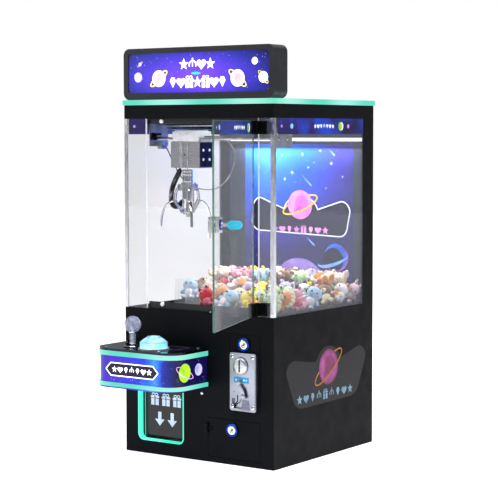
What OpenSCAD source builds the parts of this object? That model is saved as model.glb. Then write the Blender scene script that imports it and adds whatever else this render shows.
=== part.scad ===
/* [Cabinet] */
// Width of the cabinet
cabinet_w = 390; // [380:5:470]
// Depth of the cabinet
cabinet_d = 390; // [380:5:470]
// Height of the lower cabinet
base_h = 315; // [300:5:380]
// Height of the glass between the lower cabinet and the header
glass_h = 406; // [380:5:490]
// Height of the header band
header_h = 29; // [24:1:40]
// Thickness of the sheet steel
sheet_t = 3; // [2:0.5:4]
// Thickness of the glass
glass_t = 4; // [3:0.5:5]
// Width of the rear column's side leg
column_d = 44; // [36:1:60]
// Width of the bright trim at the front corners
trim_w = 8.5; // [7:0.5:18]

/* [Roof and sign] */
// Height of the glowing edge strip
roof_h = 11; // [8:1:16]
// How far the glowing strip stands proud of the cabinet
roof_lip = 2.5; // [0:0.5:5]
// Width of the lit sign
sign_w = 392; // [300:2:392]
// Height of the lit sign
sign_h = 109; // [90:1:140]
// Depth of the lit sign
sign_d = 48; // [36:1:70]
// Width of the sign's bezel
sign_bezel = 12.5; // [8:0.5:20]

/* [Glass door] */
// Distance from the cabinet's centre to the door's free edge
door_left = 136; // [126:1:146]
// Distance from the cabinet's centre to the door's pivot
door_pivot_x = 156; // [146:1:160]
// How far the door stands open
door_open = 110; // [0:1:112]
// Height of the door lock above the floor
door_lock_z = 519; // [480:1:600]

/* [Control panel] */
// Width of the control panel
panel_w = 223; // [205:1:240]
// How far the control panel stands out
panel_d = 115; // [112:1:135]
// Height of the control panel's underside above the floor
panel_z = 157; // [150:1:190]
// Height of the control panel
panel_h = 83; // [70:1:100]
// Radius of the panel's front corners
panel_r = 40; // [20:1:48]
// Diameter of the push button's dome
button_dia = 58; // [40:1:62]
// Diameter of the joystick's ball
ball_dia = 36; // [28:1:42]

/* [Prize outlet] */
// Distance from the cabinet's centre to the middle of the outlet
prize_x = 99.5; // [92:0.5:106]
// Width of the outlet in the front wall
outlet_w = 125; // [110:1:130]
// Height of the outlet's lower edge
outlet_z = 27.5; // [24:0.5:34]
// Thickness of the glowing strip that lines the outlet
outlet_frame = 3; // [2:0.5:10]
// Height of the flap's lower edge above the outlet's
flap_sill = 10; // [8:0.5:20]
// Inner width of the chute
chute_w = 105; // [94:1:110]
// Height of the chute's clear guard above the deck
guard_h = 58; // [40:1:64]

/* [Coin and cash doors] */
// Left edge of the coin door
coin_x = 84; // [80:1:88]
// Width of the coin door's opening
coin_w = 76.5; // [72:0.5:82]
// Lower edge of the coin door's opening
coin_z = 115; // [112:1:122]
// Height of the coin door's opening
coin_h = 160; // [150:1:175]
// Width of the coin plate
plate_w = 66; // [60:1:68]
// Height of the coin plate
plate_h = 121; // [110:1:124]
// Left edge of the cash door
cash_x = 27; // [24:1:34]
// Width of the cash door's opening
cash_w = 134; // [120:1:136]
// Lower edge of the cash door's opening
cash_z = 12; // [10:1:16]
// Height of the cash door's opening
cash_h = 83; // [74:1:90]

/* [Gantry and claw] */
// Claw's home distance left of the centre
claw_x = 85; // [75:1:90]
// Claw's home distance in front of the centre
claw_y = 115; // [105:1:120]
// Height of the trolley's box
trolley_h = 56; // [50:1:60]
// Diameter of the bridge's two guide rods
rod_dia = 6; // [5:0.5:8]
// Radius of the circle of the open finger tips
finger_reach = 63; // [50:1:66]
// Length of the claw from its top to the finger tips
claw_len = 124; // [118:1:130]
// Diameter of the curly cord
curl_dia = 12; // [9:1:13]

/* [Prizes] */
// Number of soft toys across the cabin
toy_cols = 7; // [6:1:8]

/* [Hidden] */
$fn = 48;
fit = 0.05;      // radial clearance of a running fit
gap = 0.4;       // clearance beside moving edges
eps = 0.5;       // overshoot of a cutting solid
half_w = cabinet_w / 2;
half_d = cabinet_d / 2;
glass_z = base_h;
header_z = base_h + glass_h;
roof_z = header_z + header_h;
sign_z = roof_z + roof_h;
in_w = half_w - sheet_t;
in_d = half_d - sheet_t;
flange = 16;     // width of the inward flanges that carry the glass
pan_t = 4;
deck_t = 3;
deck_z = base_h - sheet_t;   // top of the deck, under the flange
screw_r = 2;
head_r = 3.4;
head_h = 1.8;
// rear cover
cover_t = 2;
cover_lap = 9;
cover_x = 164;
cover_z0 = 20;
cover_z1 = base_h - 20;
inlet_x = -110;
inlet_z = 58;
rocker_x = -66;
// glass door
door_gap = 1;
door_z0 = glass_z + 2;
door_z1 = header_z - 6;
knuckle_r = 4;
pivot_y = -half_d - knuckle_r - 0.3;
door_pin_r = 2.5;
clamp_w = 21;
clamp_h = 27;
clamp_lip = 4.5;
door_edge = -door_left + door_gap;
door_hinge_edge = door_pivot_x - 6;
lock_r = 9;
lock_body_w = 22;
lock_body_h = 30;
lock_x = door_edge + 14;
lock_front = -half_d - 8;
lock_back = -half_d + glass_t + 9;
plug_r = 5;
// prize outlet and chute
outlet_x0 = -prize_x - outlet_w / 2;
outlet_h = panel_z - 3 - outlet_z;
outlet_r = 15;
frame_back = -half_d + 14.6;
flap_pin_r = 2;
flap_y = frame_back + gap + flap_pin_r;
flap_top = outlet_z + outlet_h - 6;
flap_len = flap_top - outlet_z - flap_sill;
chute_x0 = -prize_x - chute_w / 2;
chute_x1 = -prize_x + chute_w / 2;
chute_y0 = -half_d + 11;
chute_y1 = chute_y0 + 109;
ramp_front = outlet_z + 2.5;
ramp_rise = 30;
guard_x = chute_x1 + 6;
guard_y = chute_y1 + 3;
guard_t = 3;
guard_top = deck_z + guard_h;
// control panel
panel_x0 = -half_w;
panel_x1 = panel_x0 + panel_w;
panel_y = -half_d - panel_d;
panel_inset = 3;
panel_top_t = 5;
panel_top = panel_z + panel_h;
led_low_z = panel_z + 3;
led_low_h = 8.5;
led_top_h = 10;
led_top_z = panel_top - panel_top_t - led_top_h;
panel_cx = (panel_x0 + panel_x1) / 2;
button_x = panel_cx + 25;
button_y = panel_y + 41;
button_r = button_dia / 2;
barrel_r = button_r + 2;
stick_x = panel_cx - 37;
stick_y = panel_y + 48;
pivot_z = panel_top - 18;
ball_z = panel_top + 47.5;
stick_r = 4;
sleeve_r = 6.35;
panel_screw_at = [[panel_cx - 80, panel_y + 14], [panel_cx + 62, panel_y + 12],
                  [panel_cx - 100, -half_d - 10], [panel_cx + 92, -half_d - 8]];
// coin door
door_play = 0.8;
coin_pin_x = coin_x + 4;
coin_pin_y = -half_d + sheet_t / 2;
plate_x = coin_x + 6;
plate_z = coin_z + 2;
plate_t = 8;
slot_x = plate_x + 27;
slot_z = plate_z + 94;
lever_z = plate_z + 60;
coin_lock_x = coin_x + 37.4;
coin_lock_z = coin_z + 140.3;
cash_lock_x = cash_x + 64.4;
cash_lock_z = cash_z + 62;
cash_pin_x = cash_x - 1;
cash_pin_y = -half_d - 3;
cam_lock_r = 9;
cam_len = 25;
// gantry
rail_z = header_z - 21;
rail_in = 168;
rail_web = 184;
wheel_r = 7;
axle_r = 2.5;
axle_z = rail_z + wheel_r + 0.3;
plate_x0 = 163;
bridge_y = -claw_y;
bridge_half = 32;
axle_off = 24;
rod_z = header_z - 43;
rod_off = 16;
housing_z0 = header_z - 49;
housing_z1 = header_z - 27;
box_z0 = housing_z0 - trolley_h;
box_x0 = -claw_x - 27;
box_x1 = -claw_x + 50;
box_y = 24;
drum_z = box_z0 + 28;
drum_r = 9;
claw_top = box_z0 - 4;
hub_z = claw_top - 41;
hub_r = 19;
pivot_r = 20;
finger_t = 4;
finger_w = 6;
tip_z = claw_top - claw_len;
collar_z = claw_top - 91;
finger_az = [195, 75, -45];
curl_az = 168;
// soft toys
cabin_x = half_w - glass_t;
cabin_y0 = -half_d + glass_t + 4;
cabin_y1 = half_d - 7.6;
toy_pitch = 2 * cabin_x / toy_cols;
toy_r = toy_pitch / 2 - gap;
toy_rows = floor((cabin_y1 - cabin_y0) / toy_pitch);
toy_layer = sqrt(pow(2 * toy_r + 0.3, 2) - pow(toy_pitch, 2) / 2);

// a box from one corner to the opposite one
module span(a, b) {
  translate(a) cube([b[0] - a[0], b[1] - a[1], b[2] - a[2]]);
}

// a rod along X, from x0 to x1
module rod_x(x0, x1, y, z, r) {
  translate([x0, y, z]) rotate([0, 90, 0]) cylinder(h = x1 - x0, r = r);
}

// a rod along Y, from y0 to y1
module rod_y(y0, y1, x, z, r) {
  translate([x, y0, z]) rotate([-90, 0, 0]) cylinder(h = y1 - y0, r = r);
}

// an upright rod, from z0 to z1
module rod_z(z0, z1, x, y, r) {
  translate([x, y, z0]) cylinder(h = z1 - z0, r = r);
}

// both of a left and right pair
module both_sides() {
  children();
  mirror([1, 0, 0]) children();
}

// a rectangle with round corners in the XZ plane, thickened along Y
module round_plate(x0, x1, z0, z1, y0, y1, r) {
  translate([0, y1, 0]) rotate([90, 0, 0]) linear_extrude(y1 - y0) {
    translate([x0 + r, z0]) square([x1 - x0 - 2 * r, z1 - z0]);
    translate([x0, z0 + r]) square([x1 - x0, z1 - z0 - 2 * r]);
    for (x = [x0 + r, x1 - r], z = [z0 + r, z1 - r]) translate([x, z]) circle(r);
  }
}

// the door's own pieces are drawn shut and swung open about the pivot
module swung() {
  translate([door_pivot_x, pivot_y, 0]) rotate([0, 0, door_open])
    translate([-door_pivot_x, -pivot_y, 0]) children();
}

module base_cabinet() color([0.07, 0.07, 0.08]) difference() {
  span([-half_w, -half_d, 0], [half_w, half_d, base_h]);
  span([-in_w, -in_d, pan_t], [in_w, in_d, base_h - sheet_t]);
  span([-half_w + flange, -half_d + flange, base_h - 2 * sheet_t],
       [half_w - flange, half_d - flange, base_h + eps]);
  round_plate(outlet_x0, outlet_x0 + outlet_w, outlet_z, outlet_z + outlet_h,
              -half_d - eps, -in_d + eps, outlet_r);
  span([coin_x, -half_d - eps, coin_z], [coin_x + coin_w, -in_d + eps, coin_z + coin_h]);
  span([cash_x, -half_d - eps, cash_z], [cash_x + cash_w, -in_d + eps, cash_z + cash_h]);
  rod_z(coin_z - 5, coin_z + coin_h + 5, coin_pin_x, coin_pin_y, 1.2 + fit);
  span([-cover_x + cover_lap, in_d - eps, cover_z0 + cover_lap],
       [cover_x - cover_lap, half_d + eps, cover_z1 - cover_lap]);
  for (x = [-1, 1], z = [cover_z0 + 5, cover_z1 - 5])
    rod_y(in_d - eps, half_d + eps, x * (cover_x - 5), z, screw_r + fit);
  rod_y(-half_d - eps, -in_d + eps, panel_cx, panel_z + 30, 8);
}

module rear_cover() color([0.1, 0.1, 0.11]) difference() {
  span([-cover_x, half_d, cover_z0], [cover_x, half_d + cover_t, cover_z1]);
  for (x = [-1, 1], z = [cover_z0 + 5, cover_z1 - 5])
    rod_y(half_d - eps, half_d + cover_t + eps, x * (cover_x - 5), z, screw_r + fit);
  for (i = [0:7], x = [-1, 1])
    round_plate(x * 70 - 38, x * 70 + 38, 120 + i * 9, 124 + i * 9,
                half_d - eps, half_d + cover_t + eps, 1.9);
  span([inlet_x - 24, half_d - eps, inlet_z - 14], [inlet_x + 24, half_d + cover_t + eps, inlet_z + 14]);
  span([rocker_x - 10.5, half_d - eps, inlet_z - 14],
       [rocker_x + 10.5, half_d + cover_t + eps, inlet_z + 14]);
}

module screws() color([0.75, 0.75, 0.76]) {
  for (x = [-1, 1], z = [cover_z0 + 5, cover_z1 - 5]) {
    rod_y(in_d, half_d + cover_t, x * (cover_x - 5), z, screw_r);
    rod_y(half_d + cover_t, half_d + cover_t + head_h, x * (cover_x - 5), z, head_r);
  }
  for (p = panel_screw_at) {
    rod_z(panel_top - panel_top_t, panel_top, p[0], p[1], screw_r);
    rod_z(panel_top, panel_top + head_h, p[0], p[1], head_r);
  }
}

// appliance inlet and the rocker's frame, snapped into the rear cover
module power_inlet() color([0.12, 0.12, 0.12]) {
  y1 = half_d + cover_t;
  difference() {
    union() {
      span([inlet_x - 27, y1, inlet_z - 16.5], [inlet_x + 27, y1 + 2.5, inlet_z + 16.5]);
      span([inlet_x - 23.6, half_d - 22, inlet_z - 13.6], [inlet_x + 23.6, y1, inlet_z + 13.6]);
    }
    span([inlet_x - 12, half_d - 14, inlet_z - 8], [inlet_x + 12, y1 + 3, inlet_z + 8]);
  }
  for (x = [-7, 0, 7])
    span([inlet_x + x - 1, half_d - 14, inlet_z - 2], [inlet_x + x + 1, y1 - 2, inlet_z + 3]);
  difference() {
    union() {
      span([rocker_x - 12.5, y1, inlet_z - 16.5], [rocker_x + 12.5, y1 + 2.5, inlet_z + 16.5]);
      span([rocker_x - 10.1, half_d - 18, inlet_z - 13.6], [rocker_x + 10.1, y1, inlet_z + 13.6]);
    }
    span([rocker_x - 7.5, half_d - 14, inlet_z - 11.5], [rocker_x + 7.5, y1 + 3, inlet_z + 11.5]);
    rod_x(rocker_x - 9, rocker_x + 9, half_d, inlet_z, 1.5 + fit);
  }
}

module rocker_paddle() color([0.75, 0.08, 0.07]) {
  translate([rocker_x - 7, half_d, inlet_z]) rotate([90, 0, 90]) linear_extrude(14)
    polygon([[-4, -6], [0, -10.6], [5.5, -10], [4.4, 0], [7.8, 9.6], [2, 10.2], [-4, 6]]);
  rod_x(rocker_x - 8.6, rocker_x + 8.6, half_d, inlet_z, 1.5);
}

module power_supply() color([0.7, 0.71, 0.72]) difference() {
  span([66, 60, pan_t], [164, 158, pan_t + 38]);
  for (i = [0:7]) span([78 + i * 10, 72, pan_t + 36], [83 + i * 10, 128, pan_t + 39]);
}

module control_board() {
  color([0.05, 0.32, 0.16]) difference() {
    span([-160, 60, pan_t + 10], [-50, 150, pan_t + 11.6]);
    for (x = [-155, -55], y = [65, 145]) rod_z(pan_t + 9, pan_t + 13, x, y, 1.6);
  }
  color("white") for (i = [0:4]) span([-152 + i * 19, 62, pan_t + 11.6], [-138 + i * 19, 70, pan_t + 19]);
  color([0.1, 0.1, 0.1]) span([-118, 98, pan_t + 11.6], [-94, 122, pan_t + 14]);
  color([0.8, 0.8, 0.8]) for (x = [-155, -55], y = [65, 145]) rod_z(pan_t, pan_t + 10, x, y, 3);
}

// sheet-metal tray that catches the coins
module cash_box() color([0.6, 0.61, 0.62]) difference() {
  span([cash_x + 13, -half_d + 32, pan_t], [cash_x + cash_w - 10, -half_d + 132, pan_t + 44]);
  span([cash_x + 14.5, -half_d + 33.5, pan_t + 1.5], [cash_x + cash_w - 11.5, -half_d + 130.5, pan_t + 45]);
}

module playfield_deck() color([0.1, 0.1, 0.12]) difference() {
  span([-in_w + gap, -in_d + gap, deck_z - deck_t], [in_w - gap, in_d - gap, deck_z]);
  span([chute_x0, chute_y0, deck_z - deck_t - eps], [chute_x1, chute_y1, deck_z + eps]);
}

// shaft under the deck's hole, with a sloping floor behind the outlet
module prize_chute() color([0.16, 0.16, 0.17]) {
  t = 3;
  z1 = deck_z - deck_t;
  sill = frame_back + gap;
  for (x = [chute_x0 - t, chute_x1]) difference() {
    translate([x, 0, 0]) rotate([90, 0, 90]) linear_extrude(t)
      polygon([[sill, ramp_front - t], [sill, outlet_z + outlet_h + 2],
               [chute_y0 - t, outlet_z + outlet_h + 2], [chute_y0 - t, z1],
               [chute_y1 + t, z1], [chute_y1 + t, ramp_front + ramp_rise - t]]);
    rod_x(x - eps, x + t + eps, flap_y, flap_top, flap_pin_r + fit);
  }
  span([chute_x0, chute_y1, ramp_front + ramp_rise - t], [chute_x1, chute_y1 + t, z1]);
  span([chute_x0, chute_y0 - t, outlet_z + outlet_h + 2], [chute_x1, chute_y0, z1]);
  translate([chute_x0, 0, 0]) rotate([90, 0, 90]) linear_extrude(chute_w)
    polygon([[sill, ramp_front - t], [sill, ramp_front], [chute_y1, ramp_front + ramp_rise],
             [chute_y1, ramp_front + ramp_rise - t]]);
}

// clear guard on two sides of the deck's hole
module chute_guard() color([0.8, 0.9, 0.95, 0.35]) {
  span([chute_x0 - 2, guard_y - guard_t, deck_z], [guard_x, guard_y, guard_top]);
  span([guard_x - guard_t, -half_d + flange, deck_z], [guard_x, guard_y - guard_t, guard_top]);
}

// glowing frame that lines the prize outlet
module outlet_light() color([0.1, 0.85, 0.6]) {
  x1 = outlet_x0 + outlet_w;
  z1 = outlet_z + outlet_h;
  difference() {
    round_plate(outlet_x0 + gap, x1 - gap, outlet_z + gap, z1 - gap, -half_d, frame_back, outlet_r - gap);
    round_plate(outlet_x0 + outlet_frame, x1 - outlet_frame, outlet_z + outlet_frame, z1 - outlet_frame,
                -half_d - eps, frame_back + eps, outlet_r - outlet_frame);
  }
}

module prize_flap() color([0.05, 0.05, 0.06]) {
  span([chute_x0 + gap, flap_y - 1.5, flap_top - flap_len], [chute_x1 - gap, flap_y + 1.5, flap_top]);
  rod_x(chute_x0 - 3, chute_x1 + 3, flap_y, flap_top, flap_pin_r);
}

// black angle columns at the two rear corners
module rear_columns() color([0.06, 0.06, 0.07]) both_sides() {
  span([in_w, half_d - column_d, glass_z], [half_w, half_d, header_z]);
  span([half_w - column_d, in_d, glass_z], [in_w, half_d, header_z]);
}

// printed rear wall between the columns
module backdrop() color([0.16, 0.36, 0.85])
  span([-in_w, in_d - 4, glass_z], [in_w, in_d, header_z]);

module side_glass() color([0.7, 0.85, 0.9, 0.3]) both_sides()
  span([half_w - glass_t, -half_d + trim_w, glass_z], [half_w, half_d - column_d, header_z]);

module front_glass() color([0.7, 0.85, 0.9, 0.3]) {
  span([-half_w + trim_w, -half_d, glass_z], [-door_left, -half_d + glass_t, header_z]);
  difference() {
    span([door_pivot_x + 1, -half_d, glass_z], [half_w - trim_w, -half_d + glass_t, header_z]);
    for (z = [door_z0 + clamp_h / 2, door_z1 - clamp_h / 2])
      rod_y(-half_d - eps, -half_d + glass_t + eps, door_pivot_x + 14, z, 4);
  }
}

module corner_trims() color([0.85, 0.86, 0.87]) both_sides() {
  span([half_w - trim_w, -half_d, glass_z], [half_w, -half_d + 2, header_z]);
  span([half_w - 2, -half_d + 2, glass_z], [half_w, -half_d + trim_w, header_z]);
}

// lips that the shut door closes against, above and below, each with its round bumper
module door_stops() color([0.05, 0.05, 0.06]) {
  y0 = -half_d + glass_t + 3.6;
  for (z = [[glass_z, glass_z + 15, glass_z], [header_z - 10, header_z, header_z - 2]]) {
    span([-door_left + 1, y0, z[0]], [door_pivot_x, y0 + 2, z[1]]);
    span([-door_left + 1, y0 + 2, z[2]], [door_pivot_x, -half_d + flange, z[2] + 2]);
  }
  for (z = [glass_z + 10.5, header_z - 5.5]) rod_y(-half_d + glass_t + 0.5, y0, -door_left + 38, z, 4.6);
}

// black clamps on the fixed pane, each with its pin
module glass_hinges() for (s = [-1, 1]) {
  z = s < 0 ? door_z0 : door_z1;
  zc = z - s * clamp_h / 2;
  zk = s < 0 ? z + clamp_h / 2 + 0.3 : z - clamp_h;
  difference() {
    union() {
      span([door_pivot_x + knuckle_r + 0.5, -half_d - clamp_lip, zc - clamp_h / 2],
           [door_pivot_x + 1 + clamp_w, -half_d, zc + clamp_h / 2]);
      span([door_pivot_x + knuckle_r + 0.5, -half_d + glass_t, zc - clamp_h / 2],
           [half_w - trim_w - 1, -half_d + glass_t + 4, zc + clamp_h / 2]);
      rod_z(zk, zk + clamp_h / 2 - 0.3, door_pivot_x, pivot_y, knuckle_r);
      span([door_pivot_x, pivot_y - 2, zk],
           [door_pivot_x + knuckle_r + 1, pivot_y + 2, zk + clamp_h / 2 - 0.3]);
    }
    rod_z(zk - eps, zk + clamp_h / 2, door_pivot_x, pivot_y, door_pin_r);
  }
  rod_y(-half_d, -half_d + glass_t, door_pivot_x + 14, zc, 3.6);
  rod_z(zc - clamp_h / 2, zc + clamp_h / 2, door_pivot_x, pivot_y, door_pin_r);
}

// fixed half of the cash door's hinge, with its pin
module cash_hinge() {
  knuckle_leaf(cash_x - 11, cash_x - 2, cash_z + 51, cash_z + 57);
  knuckle_leaf(cash_x - 11, cash_x - 2, cash_z + 64, cash_z + 70);
  rod_z(cash_z + 51, cash_z + 70, cash_pin_x, cash_pin_y, 1.2);
}

module fixed_hinges() color([0.04, 0.04, 0.04]) {
  glass_hinges();
  cash_hinge();
}

module header_frame() color([0.05, 0.05, 0.06]) difference() {
  span([-half_w, -half_d, header_z], [half_w, half_d, roof_z]);
  span([-in_w, -in_d, header_z + sheet_t], [in_w, in_d, roof_z - sheet_t]);
  span([-half_w + flange, -half_d + flange, header_z - eps],
       [half_w - flange, half_d - flange, roof_z + eps]);
}

// glowing edge strip round the roof
module roof_light() color([0.3, 0.95, 0.75]) difference() {
  x = half_w + roof_lip;
  y = half_d + roof_lip;
  span([-x, -y, roof_z], [x, y, sign_z]);
  span([-half_w + 8, -half_d + 8, roof_z - eps], [half_w - 8, half_d - 8, sign_z + eps]);
}

module roof_lid() color([0.07, 0.07, 0.08]) difference() {
  x = half_w - 8.3;
  y = half_d - 8.3;
  span([-x, -y, roof_z], [x, y, sign_z]);
  span([-x + 3, -y + 3, roof_z - eps], [x - 3, y - 3, sign_z - 3]);
}

module sign_housing() color([0.05, 0.05, 0.06]) difference() {
  x = sign_w / 2;
  z1 = sign_z + sign_h;
  b = sign_bezel;
  round_plate(-x, x, sign_z, z1, -half_d, -half_d + sign_d, 15);
  round_plate(-x + b, x - b, sign_z + b + 1.5, z1 - b + 1.5, -half_d - eps, -half_d + 4, 7);
  round_plate(-x + 3, x - 3, sign_z + 3, z1 - 3, -half_d + 2, -half_d + sign_d - 2, 12);
}

// lit front panel of the sign, behind the bezel
module sign_face() color([0.3, 0.3, 0.9]) {
  x = sign_w / 2 - 3.4;
  round_plate(-x, x, sign_z + 3.4, sign_z + sign_h - 3.4, -half_d + 2, -half_d + 5, 11.6);
}

// loose prizes: each is drawn as a ball, two layers deep towards the back
module soft_toys() {
  z1 = deck_z + 0.3 + toy_r;
  for (j = [0:toy_rows - 1]) {
    y = cabin_y1 - toy_r - gap - j * toy_pitch;
    beside = y - toy_r < guard_y + 1;
    left = beside ? guard_x + 0.5 : -cabin_x;
    n = floor((cabin_x - left) / toy_pitch);
    for (i = [0:n - 1]) color([0.95, 0.75, 0.8])
      translate([cabin_x - (i + 0.5) * toy_pitch, y, z1]) sphere(toy_r);
  }
  for (j = [0:1], i = [0:toy_cols - 2]) color([0.8, 0.85, 0.95])
    translate([cabin_x - (i + 1) * toy_pitch, cabin_y1 - toy_r - gap - (j + 0.5) * toy_pitch, z1 + toy_layer])
      sphere(toy_r);
}

// angle rails that the bridge rolls along
module gantry_rails() color([0.55, 0.56, 0.58]) both_sides() {
  span([rail_in, -half_d + 22, rail_z - 2], [rail_web, half_d - 22, rail_z]);
  span([rail_web, -half_d + 22, rail_z - 2], [rail_web + 2, half_d - 22, header_z]);
}

// plan of the control panel, drawn in from its outer edge
module panel_plan(inset) {
  x0 = panel_x0 + inset;
  x1 = panel_x1 - inset;
  y0 = panel_y + inset;
  r = panel_r - inset;
  translate([x0 + r, y0]) square([x1 - x0 - 2 * r, -half_d - y0]);
  translate([x0, y0 + r]) square([x1 - x0, -half_d - y0 - r]);
  translate([x0 + r, y0 + r]) circle(r);
  translate([x1 - r, y0 + r]) circle(r);
}

module panel_ring(outer, inner, z0, z1) {
  translate([0, 0, z0]) linear_extrude(z1 - z0) difference() {
    panel_plan(outer);
    panel_plan(inner);
  }
}

// folded shell of the control panel, closed below
module control_box() color([0.1, 0.12, 0.35]) {
  translate([0, 0, panel_z]) linear_extrude(3) panel_plan(1);
  panel_ring(2 * panel_inset, 3 * panel_inset, panel_z + 3, panel_top - panel_top_t);
  panel_ring(panel_inset, 2 * panel_inset, led_low_z + led_low_h, led_top_z);
  for (p = panel_screw_at) rod_z(panel_z + 3, panel_top - panel_top_t, p[0], p[1], 4);
}

module control_top() color([0.06, 0.06, 0.09]) difference() {
  translate([0, 0, panel_top - panel_top_t]) linear_extrude(panel_top_t) panel_plan(1);
  rod_z(panel_top - 9, panel_top + eps, stick_x, stick_y, 13);
  rod_z(panel_top - 9, panel_top + eps, button_x, button_y, barrel_r + 0.3);
  for (p = panel_screw_at) rod_z(panel_top - 9, panel_top + eps, p[0], p[1], screw_r + fit);
}

// two glowing bands round the control panel
module control_lights() color([0.1, 0.85, 0.65]) {
  panel_ring(0, 2 * panel_inset, led_low_z, led_low_z + led_low_h);
  panel_ring(0, 2 * panel_inset, led_top_z, led_top_z + led_top_h);
}

module joystick_housing() color([0.08, 0.08, 0.08]) {
  z1 = panel_top - panel_top_t;
  difference() {
    span([stick_x - 29, stick_y - 29, pivot_z - 20], [stick_x + 29, stick_y + 29, z1]);
    span([stick_x - 23, stick_y - 23, pivot_z - 17], [stick_x + 23, stick_y + 23, z1 + eps]);
    rod_x(stick_x - 30, stick_x + 30, stick_y, pivot_z, 2 + fit);
  }
  difference() {
    rod_z(panel_top, panel_top + 2, stick_x, stick_y, 19);
    rod_z(panel_top - eps, panel_top + 3, stick_x, stick_y, 13);
  }
}

module joystick_gimbal() color([0.7, 0.7, 0.72]) difference() {
  union() {
    span([stick_x - 17, stick_y - 17, pivot_z - 4], [stick_x + 17, stick_y + 17, pivot_z + 4]);
    rod_x(stick_x - 28, stick_x + 28, stick_y, pivot_z, 2);
  }
  span([stick_x - 11, stick_y - 11, pivot_z - 5], [stick_x + 11, stick_y + 11, pivot_z + 5]);
  rod_y(stick_y - 18, stick_y + 18, stick_x, pivot_z, 2 + fit);
}

module joystick_stick() color([0.85, 0.85, 0.87]) {
  rod_z(pivot_z - 13, ball_z - 4, stick_x, stick_y, stick_r);
  rod_y(stick_y - 16, stick_y + 16, stick_x, pivot_z, 2);
}

// clear ball and the clear sleeve below it
module joystick_ball() color([0.85, 0.9, 1, 0.4]) {
  difference() {
    translate([stick_x, stick_y, ball_z]) sphere(ball_dia / 2);
    rod_z(ball_z - ball_dia, ball_z - 4, stick_x, stick_y, stick_r + fit);
  }
  difference() {
    rod_z(panel_top + 6, ball_z - ball_dia / 2 + 1.2, stick_x, stick_y, sleeve_r);
    translate([stick_x, stick_y, ball_z]) sphere(ball_dia / 2);
    rod_z(panel_top + 5, ball_z, stick_x, stick_y, stick_r + fit);
  }
}

module button_housing() color([0.75, 0.8, 0.85]) difference() {
  union() {
    rod_z(panel_top, panel_top + 3, button_x, button_y, button_r + 4);
    rod_z(panel_top - 24, panel_top, button_x, button_y, barrel_r);
  }
  rod_z(panel_top - 20, panel_top + 4, button_x, button_y, button_r + 0.6);
  rod_z(panel_top - 25, panel_top, button_x, button_y, 6 + fit);
}

module button_dome() color([0.2, 0.8, 0.95]) {
  translate([button_x, button_y, panel_top - 4]) rotate_extrude() {
    difference() {
      union() {
        square([button_r, 8]);
        translate([0, 8]) intersection() {
          translate([0, 24.5 - 1.22 * button_r]) circle(1.22 * button_r);
          square([button_r, 25]);
        }
      }
      translate([-2, -1]) square([2, 60]);
    }
  }
  rod_z(panel_top - 28, panel_top - 4, button_x, button_y, 6);
}

module door_glass() color([0.6, 0.85, 0.85, 0.3]) swung() difference() {
  span([door_edge, -half_d, door_z0], [door_hinge_edge, -half_d + glass_t, door_z1]);
  rod_y(-half_d - eps, -half_d + glass_t + eps, lock_x, door_lock_z, lock_r + 0.3);
  for (z = [door_z0 + clamp_h / 2, door_z1 - clamp_h / 2])
    rod_y(-half_d - eps, -half_d + glass_t + eps, door_hinge_edge - 11, z, 4);
}

module door_clamps() color([0.04, 0.04, 0.04]) swung() for (s = [-1, 1]) {
  z = s < 0 ? door_z0 : door_z1;
  zc = z - s * clamp_h / 2;
  zk = s < 0 ? z : z - clamp_h / 2 + 0.3;
  difference() {
    union() {
      span([door_hinge_edge - clamp_w, -half_d - clamp_lip, zc - clamp_h / 2],
           [door_hinge_edge + 1, -half_d, zc + clamp_h / 2]);
      rod_z(zk, zk + clamp_h / 2 - 0.3, door_pivot_x, pivot_y, knuckle_r);
      span([door_hinge_edge, pivot_y - 1.5, zk], [door_pivot_x, pivot_y + 1.5, zk + clamp_h / 2 - 0.3]);
    }
    rod_z(zk - eps, zk + clamp_h / 2, door_pivot_x, pivot_y, door_pin_r + fit);
  }
  span([door_hinge_edge - clamp_w, -half_d + glass_t, zc - clamp_h / 2],
       [door_hinge_edge, -half_d + glass_t + 3, zc + clamp_h / 2]);
  rod_y(-half_d, -half_d + glass_t, door_hinge_edge - 11, zc, 3.6);
}

module door_lock() color([0.8, 0.81, 0.83]) swung() difference() {
  union() {
    span([lock_x - lock_body_w / 2, lock_front, door_lock_z - lock_body_h / 2],
         [lock_x + lock_body_w / 2, -half_d, door_lock_z + lock_body_h / 2]);
    rod_y(-half_d, -half_d + glass_t, lock_x, door_lock_z, lock_r);
    span([lock_x - lock_body_w / 2, -half_d + glass_t, door_lock_z - lock_body_h / 2],
         [lock_x + lock_body_w / 2, lock_back, door_lock_z + lock_body_h / 2]);
  }
  rod_y(lock_front - eps, lock_back + eps, lock_x, door_lock_z, plug_r + fit);
}

// the lock's plug, its cam on the inside and the key in it
module door_key() color([0.1, 0.7, 0.9]) swung() {
  rod_y(lock_front - 1, lock_back + 0.4, lock_x, door_lock_z, plug_r);
  span([lock_x - 5, lock_back + 0.4, door_lock_z - 26], [lock_x + 5, lock_back + 2.4, door_lock_z + 6]);
  span([lock_x - 1, lock_front - 12, door_lock_z - 4], [lock_x + 1, lock_front - 1, door_lock_z + 4]);
  translate([lock_x - 2, 0, 0]) rotate([90, 0, 90]) linear_extrude(4) difference() {
    translate([lock_front - 42, door_lock_z - 8]) union() {
      translate([8, 0]) square([14, 16]);
      translate([8, 8]) circle(8);
      translate([22, 8]) circle(8);
    }
    translate([lock_front - 34, door_lock_z]) circle(3);
  }
}

module cam_lock(x, z) {
  difference() {
    union() {
      rod_y(-half_d - 3, -half_d, x, z, 13.5);
      rod_y(-half_d, -half_d + 19, x, z, cam_lock_r);
    }
    rod_y(-half_d - 4, -half_d + 20, x, z, plug_r + fit);
  }
}

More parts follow.
